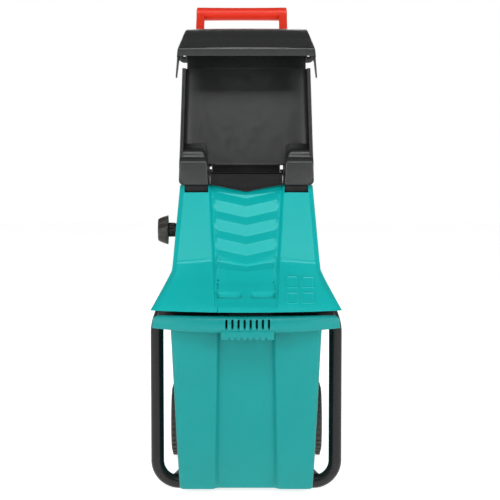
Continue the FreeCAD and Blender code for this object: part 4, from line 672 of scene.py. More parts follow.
def front_cover():
    marks = [SKIRT_Z, SKIRT_Z + 1, *spread(440, 464, 8), 470, 474, *spread(482, 510, 7)]
    marks += [edge + d for edge in RECESS_Z for d in (-1, 0, 1)]
    marks += [LAST_EDGE + d for d in (-7, -4, -2, -1, 0, 1, 2, 5, 8, 11, 13)]
    marks += [CREASE_Z + d for d in (-6, -4, -2, 0, 2, 4, 6)]
    for edge in STEP_EDGES:
        marks += [edge + d for d in (-1, 0, 1, 3, 7, 11, 15, 17, 18, 19, 21, 25, 30, 36, 41)]
    marks += [706, 709, 712, 715, 717.5]
    levels = sorted(m for m in set(marks) if m <= 717.5)
    rows = [front_row(level) for level in levels]
    rows.append(front_row(COVER_TOP_Z - 2.5, 0.9, COVER_TOP_Z - 0.8))
    rows.append(front_row(COVER_TOP_Z - 2.5, 2.6, COVER_TOP_Z))
    rows.append(front_row(COVER_TOP_Z - 2.5, 16, COVER_TOP_Z))
    made = surface("front_cover_moulding", rows)
    walled(made, SHELL_WALL, SKIRT_Z)
    # the notch for the inlet follows its pointed lower edge
    inlet = [(-89.2, 721), (0, 703.2), (89.2, 721), (89.2, 740), (-89.2, 740)]
    notch = prism("inlet_notch", inlet, "Y", -90, PARTING_Y + 5)
    feet = []
    for side in ("left", "right"):
        low, high = extent("hopper_socket_" + side)
        feet.append(block("foot_notch", (low.x - 0.4, -90, low.z - 0.4), (high.x + 0.4, high.y + 0.4, 730)))
    knob_low, knob_high = extent("screw_bush")
    centre = (knob_low + knob_high) / 2
    hole = moved(lathe("knob_hole", [(-215, 17.2), (-150, 17.2)], 48), (0, centre.y, centre.z))
    carved(made, notch, *feet, hole)
    fitted(made, "machine", "teal", "front_cover", smooth=28)
    raised_tiles()
    plate_flange()


def plate_flange():
    """The base plate's folded front edge, which fills the gap between skirt and bin."""
    low, high = extent("base_plate")
    flange = soft_block("plate_flange", (low.x + 4, low.y + 0.5, low.z + 0.5),
                        (high.x - 4, low.y + 3.5, SKIRT_Z - 0.5), 1.0, 0.5)
    fitted(flange, "machine", "enamel")


def raised_tiles():
    """Four plain raised tiles on the right of the skirt."""
    tiles = []
    for i, (x0, x1) in enumerate(((93, 124), (129, 162))):
        for j, (z0, z1) in enumerate(((454, 480), (486, 512))):
            rows = []
            for v in spread(0, 1, 12):
                row = []
                for u in spread(0, 1, 12):
                    x = x0 + (x1 - x0) * u
                    point = front_point(x, z0 + (z1 - z0) * v)
                    border = min(u, 1 - u, v, 1 - v)
                    ring = ease(border / 0.06) - 0.55 * ease((border - 0.10) / 0.05)
                    point.y -= -0.6 + 2.8 * ring
                    row.append(point)
                rows.append(row)
            tile = surface(f"tile_{i}{j}", rows)
            tiles.append(walled(tile, 0.8))
    fitted(named(joined(*tiles), "raised_tiles"), "machine", "teal", smooth=28)


REAR_LOW, REAR_HIGH = extent("rear_cover")
CONTROL_GAP = 0.6
VENT_COUNT = 9
VENT_PITCH = 12
REAR_HALF = straight((SKIRT_Z, 186), (485, 178), (CREASE_Z, 172), (COVER_TOP_Z, 150))
REAR_Y = straight((SKIRT_Z, REAR_HIGH.y), (CREASE_Z, REAR_HIGH.y), (COVER_TOP_Z, 200))


def rear_row(level, inset=0.0, lift=None):
    """One level of the rear cover, from the right parting edge round the back to the left one."""
    half, back, part = REAR_HALF(level), REAR_Y(level), PARTING_HALF(level)
    middle = (part + (half - part) * 0.5, (REAR_LOW.y + back) / 2)
    corners = [(part, REAR_LOW.y), middle, (half, back), (0, back)]
    line = rounded(corners, [0, 20, 26, 0], 6)
    right = []
    for a, b in zip(line, line[1:]):
        right += [a.lerp(b, t) for t in ((0, 0.34, 0.67) if (a - b).length > 25 else (0,))]
    right.append(line[-1])
    if inset:
        grow = 1 - inset / half
        right = [Vector((p.x * grow, REAR_LOW.y + (p.y - REAR_LOW.y) * grow)) for p in right]
    points = [Vector((p.x, p.y, level if lift is None else lift)) for p in right]
    return points + [Vector((-p.x, p.y, p.z)) for p in reversed(points[:-1])]


def rear_cover():
    levels = [SKIRT_Z, *spread(445, 537, 10), 543, *spread(550, 700, 12), 706, 710]
    rows = [rear_row(level) for level in levels]
    for inset, drop in ((1.2, 6), (3.5, 3), (7, 0.9), (11, 0), (60, 0), (110, 0), (149, 0)):
        rows.append(rear_row(710, inset, COVER_TOP_Z - drop))
    made = surface("rear_cover_moulding", rows)
    walled(made, SHELL_WALL, SKIRT_Z)
    vent = rounded([(-24, 466), (-19, 466), (-19, 521), (-24, 521)], [2.4] * 4, 4, closed=True)
    vents = repeated(prism("vents", vent, "Y", 210, 250), VENT_COUNT, (VENT_PITCH, 0, 0))
    chute = extent("inlet_chute")
    notch = block("inlet_notch", (chute[0].x - 0.4, 0, 700), (chute[1].x + 0.4, chute[1].y + 0.4, 730))
    cutters = [vents, notch]
    for node in ("start_button", "stop_button", "reset_button", "direction_switch", "power_inlet"):
        low, high = extent(node)
        cutters.append(block(node + "_way", (low.x - CONTROL_GAP, 205, low.z - CONTROL_GAP),
                             (high.x + CONTROL_GAP, 250, high.z + CONTROL_GAP)))
    carved(made, *cutters)
    # raised ribs above and below the vents, along the back, as on a moulded cover
    ribs = [soft_block("back_rib", (-30, 232, 459), (84, 236.2, 462), 1.4, 0.6),
            soft_block("back_rib", (-30, 232, 525), (84, 236.2, 528), 1.4, 0.6)]
    fitted(joined(made, *ribs), "machine", "teal", "rear_cover", smooth=30)


# ---- feed hopper ----

HOPPER_LOW, HOPPER_HIGH = extent("hopper")
HOPPER_TOP_Z = 1006.0
PANEL_LEAN = 0.275
TROUGH_HALF = straight((HOPPER_LOW.z, HOPPER_HIGH.x), (HOPPER_TOP_Z, 157.5))
TROUGH_FRONT = straight((HOPPER_LOW.z, HOPPER_LOW.y), (HOPPER_TOP_Z, -6))
RIM_WIDTH = 8.5


def panel_y(level):
    return 39 + (level - 768) * PANEL_LEAN


def trough_side(level):
    """The outer wall of the trough, drawn in at its rounded foot."""
    return TROUGH_HALF(level) - 9.0 * max(0.0, 1 - (level - HOPPER_LOW.z) / 11) ** 2


def trough_ring(level):
    """The trough's wall at one level: a closed ring, rim to rim, inside and out."""
    half = trough_side(level)
    front = TROUGH_FRONT(level)
    back = panel_y(level)
    inner = [
        (0, back + 3), (half - 44, back - 1), (half - 9, back - 12), (half - 5.5, back - 34),
        (half - 5, front + 16), (half - RIM_WIDTH, front + 8), (half - RIM_WIDTH, front),
    ]
    outer = [(half, front), (half, back + 4), (0, back + 7)]
    radii = [0, 40, 16, 14, 6, 3, 1.2, 2.2, 18, 0]
    line = rounded(inner + outer, radii, 4)
    right = [Vector((p.x, p.y, level)) for p in line]
    return right + [Vector((-p.x, p.y, p.z)) for p in reversed(right[1:-1])]


def hump():
    """The right-hand corner hump that guides waste to the throat and stands in the cover's socket."""
    foot = HOPPER_LOW.z + 0.3
    profile = [(-56.5, foot), (-57.5, 776), (-52, 783), (-44, 789), (-41.5, 800), (-36, 806), (-18, 811),
               (panel_y(822) + 2, 821), (panel_y(722) + 3, foot)]
    crown = [3, 3, 6, 5, 5, 6, 10, 3, 3]
    line = rounded(profile, crown, 3, closed=True)

    def inner_x(level):
        return 92 + 7 * (level - 722) / 96

    centre = Vector((-8, 765))
    rows = []
    for turn in spread(0, 90, 7):
        row = []
        for p in line:
            away = (p - centre).normalized()
            reach = 4.5 + 10 * ease((p.y - 782) / 22)
            q = p - away * reach * (1 - math.sin(math.radians(turn)))
            row.append((inner_x(q.y) + reach * (1 - math.cos(math.radians(turn))), q.x, q.y))
        rows.append(row)
    for turn in spread(90, 0, 5):
        row = []
        for p in line:
            q = p - (p - centre).normalized() * 4 * (1 - math.sin(math.radians(turn)))
            row.append((trough_side(q.y) + 0.3 - 4 * (1 - math.cos(math.radians(turn))), q.x, q.y))
        rows.append(row)
    return surface("hump", rows, ring=True, capped=True)


def tongue():
    """The plate above the trough that the hood is fixed to."""
    top = HOPPER_HIGH.z
    rows = []
    for level in (1003, 1010, 1030, 1050, 1070, top - 4, top):
        half = 149.5 - (2.0 if level == top else 0)
        back = panel_y(level)
        front = [(x, back + 3 - 3 * (x / half) ** 2) for x in spread(-half, half, 12)]
        rows.append([(x, y, level) for x, y in [*front, (half, back + 7), (-half, back + 7)]])
    return softly_edged(surface("tongue", rows, ring=True, capped=True), 1.2, 2, 50)


def hopper():
    levels = [HOPPER_LOW.z + d for d in (0, 0.8, 2, 4, 7, 11)]
    levels += [*spread(738, 1000, 24), HOPPER_TOP_Z - 1.5, HOPPER_TOP_Z]
    trough = surface("hopper_moulding", [trough_ring(z) for z in levels], ring=True, capped=True)
    # below the panel's lower edge only the corners are left, beside the throat
    throat = block("throat", (-91, -120, 700), (91, 120, 767.5))
    carved(trough, throat)
    foot, top = 765.6, 771
    lip = [(panel_y(767) - 1.5, foot), (panel_y(767) + 4, foot), (panel_y(top) + 4, top),
           (panel_y(top) - 1.5, top)]
    lip = prism("panel_lip", rounded(lip, [1.3] * 4, 3, closed=True), "X", -91, 91)
    right = hump()
    left = mirrored(right, "hump_left")
    blocks = []
    for x in (-119, 94):
        blocks.append(soft_block("tongue_block", (x - 9, panel_y(1088) + 2, 1053), (x + 9, 136.4, 1087), 3))
    fitted(joined(trough, lip, right, left, tongue(), *blocks), "machine", "black", "hopper", smooth=34)
    for side in ("left", "right"):
        low, high = extent("hopper_socket_" + side)
        made = soft_block("hopper_socket_pad_" + side, low, high, 1.5, 0.8)
        lip = soft_block("pad_lip", (low.x + 3, low.y - 2.2, low.z + 2.5),
                         (high.x - 3, low.y + 2, low.z + 5), 1, 0.5)
        fitted(joined(made, lip), "machine", "dark", "hopper_socket_" + side)


def inlet_chute():
    """The black insert under the throat: a pointed front with a sunk panel, and the box behind it."""
    low, high = extent("inlet_chute")
    top, side_z, tip_z = 751.0, 722.0, 704.4
    half = high.x
    outline = [(-half, side_z), (0, tip_z), (half, side_z), (half, top), (-half, top)]
    front = prism("chute_front", outline, "Y", low.y, low.y + 16)
    sunk = [(-half + 4, side_z + 2.6), (0, tip_z + 4.4), (half - 4, side_z + 2.6), (half - 4, top - 5),
            (-half + 4, top - 5)]
    carved(front, prism("sunk_panel", sunk, "Y", low.y - 1, low.y + 13.5))
    softly_edged(front, 0.8, 2, 30)
    walls = []
    for sign in (-1, 1):
        walls.append(block("chute_side", (sign * half - 2 - 2 * sign, low.y + 5, tip_z + 14),
                           (sign * half + 2 - 2 * sign, high.y - 9, top - 0.5)))
    rear = block("chute_rear", (-79.6, high.y - 4, 700), (79.6, high.y, high.z))
    corners = [(-86, -79, 740, 770), (-95, -86.3, 740, 756.3), (-95, -86.3, 762, 770),
               (79, 83.7, 740, 770), (84, 91.2, 740, 755.5), (91.5, 95, 740, 770)]
    for x0, x1, z0, z1 in corners:
        walls.append(block("chute_corner", (x0, high.y - 13, z0), (x1, high.y - 9, z1)))
    lip = soft_block("chute_lip", (-half, low.y, top - 4), (half, low.y + 7, top), 1.8, 0.9)
    neck = []
    for level, box in ((664, (-64, -49, high.x - 4.6, 48)), (704, (-half, -42, half, high.y))):
        x0, y0, x1, y1 = box
        ring = [(x0, y0, level), (x1, y0, level), (x1, y1, level), (x0, y1, level)]
        neck.append(ring)
    funnel = surface("chute_neck", neck, ring=True)
    walled(face_outwards(funnel), SHELL_WALL)
    made = named(joined(front, lip, rear, funnel, *walls), "inlet_chute_moulding")
    fitted(made, "machine", "dark", "inlet_chute")


# ---- hood and handle ----

HOOD_LOW, HOOD_HIGH = extent("hood")
HOOD_LIP_Z = 1055.0
HOOD_LIP_LOW_Z = 1036.0
HOOD_HALF = straight((HOOD_LOW.z, HOOD_HIGH.x), (HOOD_LIP_Z, 168), (HOOD_HIGH.z, 151.5))
HOOD_TOP = flowing((HOOD_LOW.y, HOOD_LIP_Z), (40, 1079.5), (112, HOOD_HIGH.z - 1), (HOOD_HIGH.y, HOOD_HIGH.z))
WING_LOW = flowing((HOOD_LOW.y, HOOD_LIP_LOW_Z), (-8, 1030), (8, 995), (16, HOOD_LOW.z + 1), (28, HOOD_LOW.z),
                   (38, 988), (74, 1034), (90, 1044), (HOOD_HIGH.y, 1050))


def hood_row(y):
    """The hood across the machine at one distance back: wing, round shoulder, top and the other wing."""
    top = HOOD_TOP(y) - 1.6
    low = min(WING_LOW(y), top - 8)
    shoulder = 4.0
    side = [(HOOD_HALF(z), z) for z in spread(low, top - shoulder, 8)]
    half_top = HOOD_HALF(top)
    start = Vector(side[-1])
    corner = Vector((half_top + 0.8, top + 0.2))
    crown = 1.6
    end = Vector((half_top - shoulder, top + crown * 0.1))
    arc = [start * (1 - t) ** 2 + corner * 2 * t * (1 - t) + end * t * t for t in spread(0, 1, 5)[1:]]
    bead = 2.0 * ease(1 - abs(y - (HOOD_LOW.y + 11)) / 2.4)
    across = []
    for t in spread(1, 0, 10)[1:]:
        x = (half_top - shoulder) * t
        fade = ease((half_top - 18 - x) / 3)
        across.append(Vector((x, top + crown * (1 - t * t) * 0.9 + crown * 0.1 + bead * fade)))
    right = [Vector((p[0], y, p[1])) for p in [*side, *arc, *across]]
    return right + [Vector((-p.x, p.y, p.z)) for p in reversed(right[:-1])]


def hood():
    front_y, back_y = HOOD_LOW.y + 2.1, HOOD_HIGH.y
    first = hood_row(front_y + 2.5)
    rows = []
    for level in (HOOD_LIP_LOW_Z, HOOD_LIP_LOW_Z + 2, HOOD_LIP_Z - 4):
        rows.append([Vector((p.x + math.copysign(0.6, p.x), front_y, min(p.z, level))) for p in first])
    rows.append([Vector((p.x, front_y + 0.8, min(p.z, HOOD_LIP_Z - 1))) for p in first])
    marks = [front_y + d for d in (2.5, 5, 6.6, 7.8, 9, 10.2, 11.4, 13, 17, 22)]
    rows += [hood_row(y) for y in [*marks, *spread(14, 112, 16), 120, 128, 134]]
    last = hood_row(back_y - 4)
    rows.append([Vector((p.x, back_y - 1.2, p.z - 1.5 if p.z > 1095 else p.z)) for p in last])
    for level in (1098, 1080, 1062, 1050):
        rows.append([Vector((p.x, back_y, min(p.z, level))) for p in last])
    made = surface("hood_moulding", rows)
    walled(face_outwards(made), 3.5)
    fitted(made, "machine", "black", "hood", smooth=30)
    low, high = extent("hood_brackets")
    outline = [(149, 1021), (149, 1050), (169, 1050), (171, 1029), (161, 1021)]
    plate = prism("bracket", rounded(outline, [1.5, 1.5, 1.5, 4, 5], 3, closed=True), "Y", low.y, high.y)
    oval = rounded([(153, 1037), (159, 1037), (159, 1041), (153, 1041)], [2] * 4, 5, closed=True)
    carved(plate, prism("oval", oval, "Y", low.y - 2, high.y + 2))
    softly_edged(plate, 0.5, 2, 40)
    both = joined(plate, mirrored(plate, "bracket_left"))
    fitted(named(both, "hood_bracket_plates"), "machine", "black", "hood_brackets")


GRIP_RADIUS = 17.4
POST_WIDTH = 22


def carry_handle():
    low, high = extent("carry_handle")
    middle = (low.x + high.x) / 2
    half = (high.x - low.x) / 2
    bar_y, bar_z = high.y - GRIP_RADIUS, high.z - GRIP_RADIUS
    profile = []
    for t in spread(-1, 1, 40):
        x = half * math.sin(t * math.pi / 2)
        edge = half - abs(x)
        waist = 16.4 + 0.8 * (abs(x) / half) ** 2
        profile.append((middle + x, waist * min(1.0, math.sqrt(max(1 - (1 - min(edge / 3, 1)) ** 2, 0.02)))))
    bar = moved(lathe("grip_bar", profile, 48), (0, bar_y, bar_z))
    posts = []
    for x in (low.x, high.x - POST_WIDTH):
        rows = []
        spine = [(bar_y + 1, bar_z + 2), (bar_y - 10, bar_z - 8), (224, 1128), (190, 1104), (160, 1084),
                 (140.2, 1071)]
        for i, (y, z) in enumerate(spine):
            thick = (9, 12.5, 12.5, 12, 13, 19)[i]
            ahead = Vector(spine[min(i + 1, 5)]) - Vector(spine[max(i - 1, 0)])
            across = Vector((-ahead.y, ahead.x)).normalized() if i < 5 else Vector((0, 1))
            a = Vector((y, z)) + across * thick
            b = Vector((y, z)) - across * thick
            near, far = 0.6, POST_WIDTH - 0.6
            corners = [(near, a.x, a.y), (far, a.x, a.y), (far, b.x, b.y), (near, b.x, b.y)]
            ring = rounded(corners, [5] * 4, 3, closed=True)
            rows.append([(x + p.x, p.y, p.z) for p in ring])
        posts.append(surface("post", rows, ring=True, capped=True))
    knuckles = []
    for x in (low.x + 21.2, high.x - 23.2):
        ring = [(0, 16.4), (0.3, 17.3), (1.7, 17.3), (2, 16.4)]
        knuckles.append(moved(lathe("knuckle", [(x + a, r) for a, r in ring], 48), (0, bar_y, bar_z)))
    handle = named(joined(bar, *posts, *knuckles), "carry_handle_moulding")
    fitted(handle, "machine", "red", "carry_handle", smooth=40)


def screw_head(radius, height):
    """A screw's round head along Y with a star-shaped drive, at the origin."""
    dome = [(0, radius), (height * 0.55, radius), (height * 0.9, radius * 0.8), (height, radius * 0.55)]
    made = moved(lathe("screw_head", dome, 24), (0, 0, 0), X_TO_Y)
    points = []
    for i in range(12):
        reach = radius * (0.5 if i % 2 else 0.34)
        points.append((reach * math.cos(math.pi * i / 6), reach * math.sin(math.pi * i / 6)))
    return carved(made, prism("drive", points, "Y", height * 0.45, height + 2))


def screws():
    low, high = extent("cover_screws")
    head = screw_head(4.5, 2.8)
    moved(head, (low.x + 4.5, REAR_HIGH.y, low.z + 4.5))
    column = repeated(head, 2, (0, 0, high.z - low.z - 9), finish=FINISH["steel"])
    both = repeated(column, 2, (high.x - low.x - 9, 0, 0), finish=FINISH["steel"])
    fitted(named(both, "cover_screw_heads"), "machine", "steel", "cover_screws")
    low, high = extent("handle_screws")
    head = screw_head(5.5, 4.0)
    moved(head, (low.x + 5.5, low.y + 4.5, low.z + 5.5), Matrix.Rotation(math.radians(180), 4, "Z"))
    row = repeated(head, 2, (high.x - low.x - 11, 0, 0), finish=FINISH["steel"])
    rise = high.z - low.z - 11
    both = repeated(row, 2, (0, rise * PANEL_LEAN, rise), finish=FINISH["steel"])
    fitted(named(both, "handle_screw_heads"), "machine", "steel", "handle_screws")


# ---- knob ----


NECK_RIBS = 14


def adjusting_knob():
    low, high = extent("adjusting_knob")
    centre = (low + high) / 2
    outer, inner = low.x, high.x

    def lobes(angle, x):
        depth = 0.10 if x < outer + 25 else 0.0
        return 1 - depth * (0.5 - 0.5 * math.cos(6 * angle)) ** 2

    profile = [(outer, 12), (outer, 25.5), (outer + 1, 28), (outer + 5, 30.5), (outer + 17, 35.5),
               (outer + 22, 37), (outer + 24, 37), (outer + 25, 36), (outer + 25, 24), (outer + 25.4, 15),
               (inner, 15)]
    head = lathe("knob_moulding", profile, 96, lobes)
    cap = lathe("knob_cap", [(outer + 0.4, 9.5), (outer, 10.5), (outer + 3, 11.5)], 40)
    rib = softly_edged(block("neck_rib", (outer + 25, 13, -1.6), (inner, 17.6, 1.6)), 0.8)
    ribs = repeated(rib, NECK_RIBS, turn=(360 / NECK_RIBS, 0, 0))
    for made in (head, cap, ribs):
        moved(made, (0, centre.y, centre.z))
    fitted(joined(head, cap, ribs), "knob_and_screw", "knob", "adjusting_knob", smooth=40)


# ---- collection bin ----

BIN_LOW, BIN_HIGH = extent("bin_tub")
TRIM_LOW, TRIM_HIGH = extent("bin_trim")
BIN_HALF = flowing((BIN_LOW.z, 157), (60, 160.5), (388, 177), (BIN_HIGH.z, BIN_HIGH.x))
BIN_FRONT = straight((BIN_LOW.z, -256), (BIN_HIGH.z, BIN_LOW.y))
BIN_REAR = straight((BIN_LOW.z, 100), (BIN_HIGH.z, BIN_HIGH.y))
PANEL_HALF = straight((BIN_LOW.z, 64.5), (BIN_HIGH.z, 60.5))
PILASTER_X = straight((BIN_LOW.z, 76.5), (BIN_HIGH.z, 67))
PANEL_DEPTH = 14.0
BIN_FLOOR_Z = 36.3


def bin_ring(level, inset=0.0):
    half = BIN_HALF(level) - inset
    front = BIN_FRONT(level) + inset
    back = BIN_REAR(level) - inset
    panel, edge = PANEL_HALF(level), PILASTER_X(level)
    right = [(panel + inset, front + PANEL_DEPTH), (edge + inset, front), (half, front), (half, back)]
    corners = [*right, *[(-x, y) for x, y in reversed(right)]]
    radii = [4, 5, 12, 16]
    ring = rounded(corners, [*radii, *reversed(radii)], 5, closed=True)
    return [(p.x, p.y, level) for p in ring]


def bin_tub():
    low = BIN_LOW.z
    shell_rows = []
    for inset, level in ((5, low), (1.8, low + 0.8), (0.5, low + 2.6), (0, low + 5)):
        shell_rows.append(bin_ring(level, inset))
    shell_rows += [bin_ring(z) for z in (24, 36, *spread(50, 400, 14), BIN_HIGH.z)]
    tub = surface("bin_tub_moulding", shell_rows, ring=True)
    walled(face_outwards(tub), SHELL_WALL)
    # behind its front wall the bin stops at the floor, which rides on the frame
    under = block("under_floor", (-200, BIN_FRONT(24) + 27, 0), (200, 200, BIN_FLOOR_Z - 0.2))
    window = block("slot_window", (-50, -300, 395), (57, -240, 430))
    carved(tub, under, window)
    plate = [p[:2] for p in bin_ring(BIN_FLOOR_Z, 1.5)]
    floor_plate = prism("bin_floor", plate, "Z", BIN_FLOOR_Z - 0.2, BIN_FLOOR_Z + 3)
    # a rolled rim round the sides and back
    half, back = BIN_HIGH.x, BIN_HIGH.y
    side, front = half - 0.5, BIN_FRONT(400) + 30
    corners = [(side, front), (side, back - 0.5), (-side, back - 0.5), (-side, front)]
    rim_line = rounded(corners, [0, 16, 16, 0], 6)
    rim_rows = []
    for p in rim_line:
        sideways = math.copysign(1, p.x) if abs(p.x) > half - 17 else 0
        away = Vector((sideways, 1 if p.y > back - 17 else 0)).normalized()
        section = [(-4, -7), (-1.0, -7.5), (0, -6), (0, -1.5), (-1.2, 0), (-4, 0)]
        rim_rows.append([(p.x + away.x * a, p.y + away.y * a, BIN_HIGH.z + b) for a, b in section])
    rim = surface("bin_rim", rim_rows, ring=True, capped=True)
    fitted(joined(tub, floor_plate, rim), "collection_bin", "bin_teal", "bin_tub", smooth=30)


TRIM_CENTRE_X = 3.5
SLOT_PITCH = 14.1
SLOT_COUNT = 8


def trim_front_y(x):
    """The bowed front of the bin's trim."""
    share = abs(x) / TRIM_HIGH.x
    return TRIM_LOW.y + 34 * share ** 2.1


def trim_row(x_share):
    """The trim's section at a share of its half length: top edge, crowned front and lower edge."""
    top, low = TRIM_HIGH.z, 388.0
    end = abs(x_share)
    rise = flowing((0, 0), (0.6, 3), (1, 9))(end)
    section = flowing((0, 13), (0.06, 8), (0.16, 4), (0.32, 1.2), (0.5, 0), (0.72, 1.2), (0.9, 5), (1, 10))
    length = flowing((0, 207), (0.06, 211), (0.18, 215.5), (0.35, 218), (1, TRIM_HIGH.x - 0.3))
    points = []
    for t in [0, 0.03, 0.06, 0.1, 0.15, 0.2, *spread(0.28, 0.92, 8), 0.96, 1]:
        z = top + (low + rise - top) * t
        x = length(t) * x_share
        points.append(Vector((x, trim_front_y(x) + section(t) * (1 - 0.45 * end), z)))
    first = points[0]
    depth = max(TRIM_HIGH.y - first.y, 0.6)
    flange = [Vector((first.x, first.y + depth * d, first.z - 0.2)) for d in (1, 0.5, 0.15)]
    return flange + points


def bin_trim():
    shares = sorted({-1, -0.99, -0.975, -0.95, *spread(-0.92, 0.92, 46), 0.95, 0.975, 0.99, 1})
    rows = [trim_row(s) for s in shares]
    trim = surface("bin_trim_moulding", rows)
    walled(face_outwards(trim), SHELL_WALL)
    # the grip hangs below the band's middle, with a notched lower edge
    half = 61.5
    low = TRIM_LOW.z
    grip_rows = []
    for x in spread(-half, half, 24):
        front = trim_front_y(x)
        bulge = [(4.2, low + 0.3), (2.6, low + 5), (2.2, 384), (2.0, 390), (2.4, 394), (7, 394), (7, 384),
                 (7.2, low + 0.3)]
        grip_rows.append([(x + TRIM_CENTRE_X, front + d, z) for d, z in bulge])
    grip = surface("grip_drop", grip_rows, ring=True, capped=True)
    notch = [(-3, low - 2), (3, low - 2), (2.6, low + 6), (-2.6, low + 6)]
    notch = rounded(notch, [0.1, 0.1, 2.5, 2.5], 4, closed=True)
    notches = prism("notches", notch, "Y", TRIM_LOW.y - 3, TRIM_LOW.y + 16)
    moved(notches, (TRIM_CENTRE_X - 3.5 * SLOT_PITCH + 0.5 * SLOT_PITCH, 0, 0))
    carved(grip, repeated(notches, SLOT_COUNT - 1, (SLOT_PITCH, 0, 0)))
    softly_edged(grip, 0.6, 2, 35)
    slot = rounded([(-2.6, 397.5), (2.6, 397.5), (2.6, 421), (-2.6, 421)], [2.5] * 4, 4, closed=True)
    slots = prism("slots", slot, "Y", TRIM_LOW.y - 3, TRIM_LOW.y + 9)
    moved(slots, (TRIM_CENTRE_X - 3.5 * SLOT_PITCH, 0, 0))
    carved(trim, repeated(slots, SLOT_COUNT, (SLOT_PITCH, 0, 0)))
    bosses = []
    for x in (-150, -100, 100, 150):
        boss = lathe("boss", [(0, 5), (18, 5)], 20)
        bosses.append(moved(boss, (x, -291, 413), X_TO_Y))
    fitted(joined(trim, grip, *bosses), "collection_bin", "bin_teal", "bin_trim", smooth=32)


# ---- wheels ----


SPOKES = 6
TREAD_LUGS = 36
HUB_BORE = 6.05


def wheel(side):
    """One wheel: spoked rim and a tyre with blocks of tread."""
    low, high = extent("tyre_" + side)
    centre = (low + high) / 2
    radius = (high.z - low.z) / 2
    width = high.x - low.x

    wall = [(14.5, 69), (18, 71), (21.8, 76), (22.3, 82), (20, radius - 6.5), (14, radius - 3.4),
            (6, radius - 2.8)]
    tyre = lathe("tyre_rubber_" + side, [(-x, r) for x, r in wall] + wall[::-1], 96)
    blocks = []
    for offset, turn in ((-13.5, 0), (0, 5), (13.5, 0)):
        lug = block("lug", (offset - 5.4, -3.6, radius - 5.5), (offset + 5.4, 3.6, radius - 0.15))
        lug.data.transform(Matrix.Rotation(math.radians(turn), 4, "X"))
        blocks.append(repeated(lug, TREAD_LUGS, turn=(360 / TREAD_LUGS, 0, 0)))
    moved(joined(tyre, *blocks), centre)
    fitted(tyre, "wheel_" + side, "rubber", "tyre_" + side, smooth=35)

    section = [(-18, 68), (-18, 62.5), (-15, 61), (15, 61), (18, 62.5), (18, 68), (14, 69), (-14, 69)]
    rim_band = lathe("rim_" + side, section, 96)
    inner = -width / 2
    section = [(inner, HUB_BORE), (inner, 15.5), (inner + 1, 16.5), (14, 17), (15, 16), (15, HUB_BORE)]
    hub = lathe("hub", section, 48)
    for ring in (rim_band, hub):
        close_ring(ring)
    outline = rounded([(-8, 14), (8, 14), (11, 63), (-11, 63)], [1] * 4, 2, closed=True)
    spoke = softly_edged(prism("spoke", outline, "X", -3.5, 3.5), 1.2)
    rib = softly_edged(block("spoke_rib", (-9, -1.6, 15), (9, 1.6, 62)), 0.8)
    spokes = [repeated(bar, SPOKES, turn=(360 / SPOKES, 0, 0)) for bar in (spoke, rib)]
    made = joined(rim_band, hub, *spokes)
    if side == "left":
        made.data.transform(Matrix.Scale(-1, 4, (1, 0, 0)))
        face_outwards(made)
    moved(made, centre)
    fitted(made, "wheel_" + side, "dark", "wheel_rim_" + side, smooth=35)


def close_ring(made):
    """A turned ring with a hole: its first and last rings are joined through the bore, not capped."""
    work = bmesh.new()
    work.from_mesh(made.data)
    caps = [f for f in work.faces if len(f.verts) > 8]
    edges = [e for f in caps for e in f.edges]
    bmesh.ops.delete(work, geom=caps, context="FACES_ONLY")
    bmesh.ops.bridge_loops(work, edges=list(set(edges)))
    bmesh.ops.recalc_face_normals(work, faces=work.faces)
    work.to_mesh(made.data)
    work.free()


# ---- controls at the back ----


def controls():
    low, high = extent("switch_panel")
    panel = soft_block("switch_panel_plate", low, high, 6, 1.2)
    border = soft_block("panel_border", (low.x + 3, high.y - 1, low.z + 3),
                        (high.x - 3, high.y + 1.2, high.z - 3), 5, 0.6)
    carved(border, soft_block("border_middle", (low.x + 5.5, high.y - 3, low.z + 5.5),
                              (high.x - 5.5, high.y + 3, high.z - 5.5), 4, 0.3))
    ways = []
    for node in ("start_button", "stop_button", "direction_switch", "reset_button", "power_inlet"):
        a, b = extent(node)
        ways.append(soft_block(node + "_way", (a.x - 0.5, low.y - 3, a.z - 0.5),
                               (b.x + 0.5, high.y + 5, b.z + 0.5), 2.5, 0.2))
    carved(panel, *ways)
    fitted(joined(panel, border), "machine", "dark", "switch_panel")

    for node, finish in (("start_button", "green"), ("stop_button", "red")):
        a, b = extent(node)
        cap = soft_block(node + "_cap", a, b, 2.5, 1.4)
        x, z = (a.x + b.x) / 2, (a.z + b.z) / 2
        if node == "start_button":
            sign = soft_block("mark", (x - 1.2, b.y - 0.8, z - 6), (x + 1.2, b.y + 1, z + 6), 1.1, 0.2)
        else:
            sign = close_mark(x, b.y, z)
        carved(cap, sign)
        fitted(cap, node, finish, node)
    a, b = extent("reset_button")
    reset = lathe("reset_cap", [(0, 6), (10.4, 6), (11.6, 5.2), (12, 3.6)], 32)
    moved(reset, ((a.x + b.x) / 2, a.y, (a.z + b.z) / 2), X_TO_Y)
    fitted(reset, "reset_button", "red", "reset_button")

    a, b = extent("direction_switch")
    x, z = (a.x + b.x) / 2, (a.z + b.z) / 2
    dial = lathe("dial", [(0, 12.8), (13.2, 12.8), (14, 12)], 48)
    moved(dial, (x, a.y, z), X_TO_Y)
    grip = soft_block("dial_grip", (x - 3.5, a.y + 6, z - 11.4), (x + 3.5, b.y, z + 11.4), 3.2, 1.1)
    pointer = soft_block("pointer", (x - 0.7, b.y - 0.8, z + 3), (x + 0.7, b.y + 1, z + 9.5), 0.6, 0.1)
    fitted(joined(carved(grip, pointer), dial), "direction_switch", "red", "direction_switch")


def close_mark(x, y, z):
    """A ring-shaped cutter for the stop button."""
    ring = lathe("mark_ring", [(0, 4.0), (0, 6.0), (2, 6.0), (2, 4.0)], 32)
    close_ring(ring)
    return moved(ring, (x, y - 0.8, z), X_TO_Y)


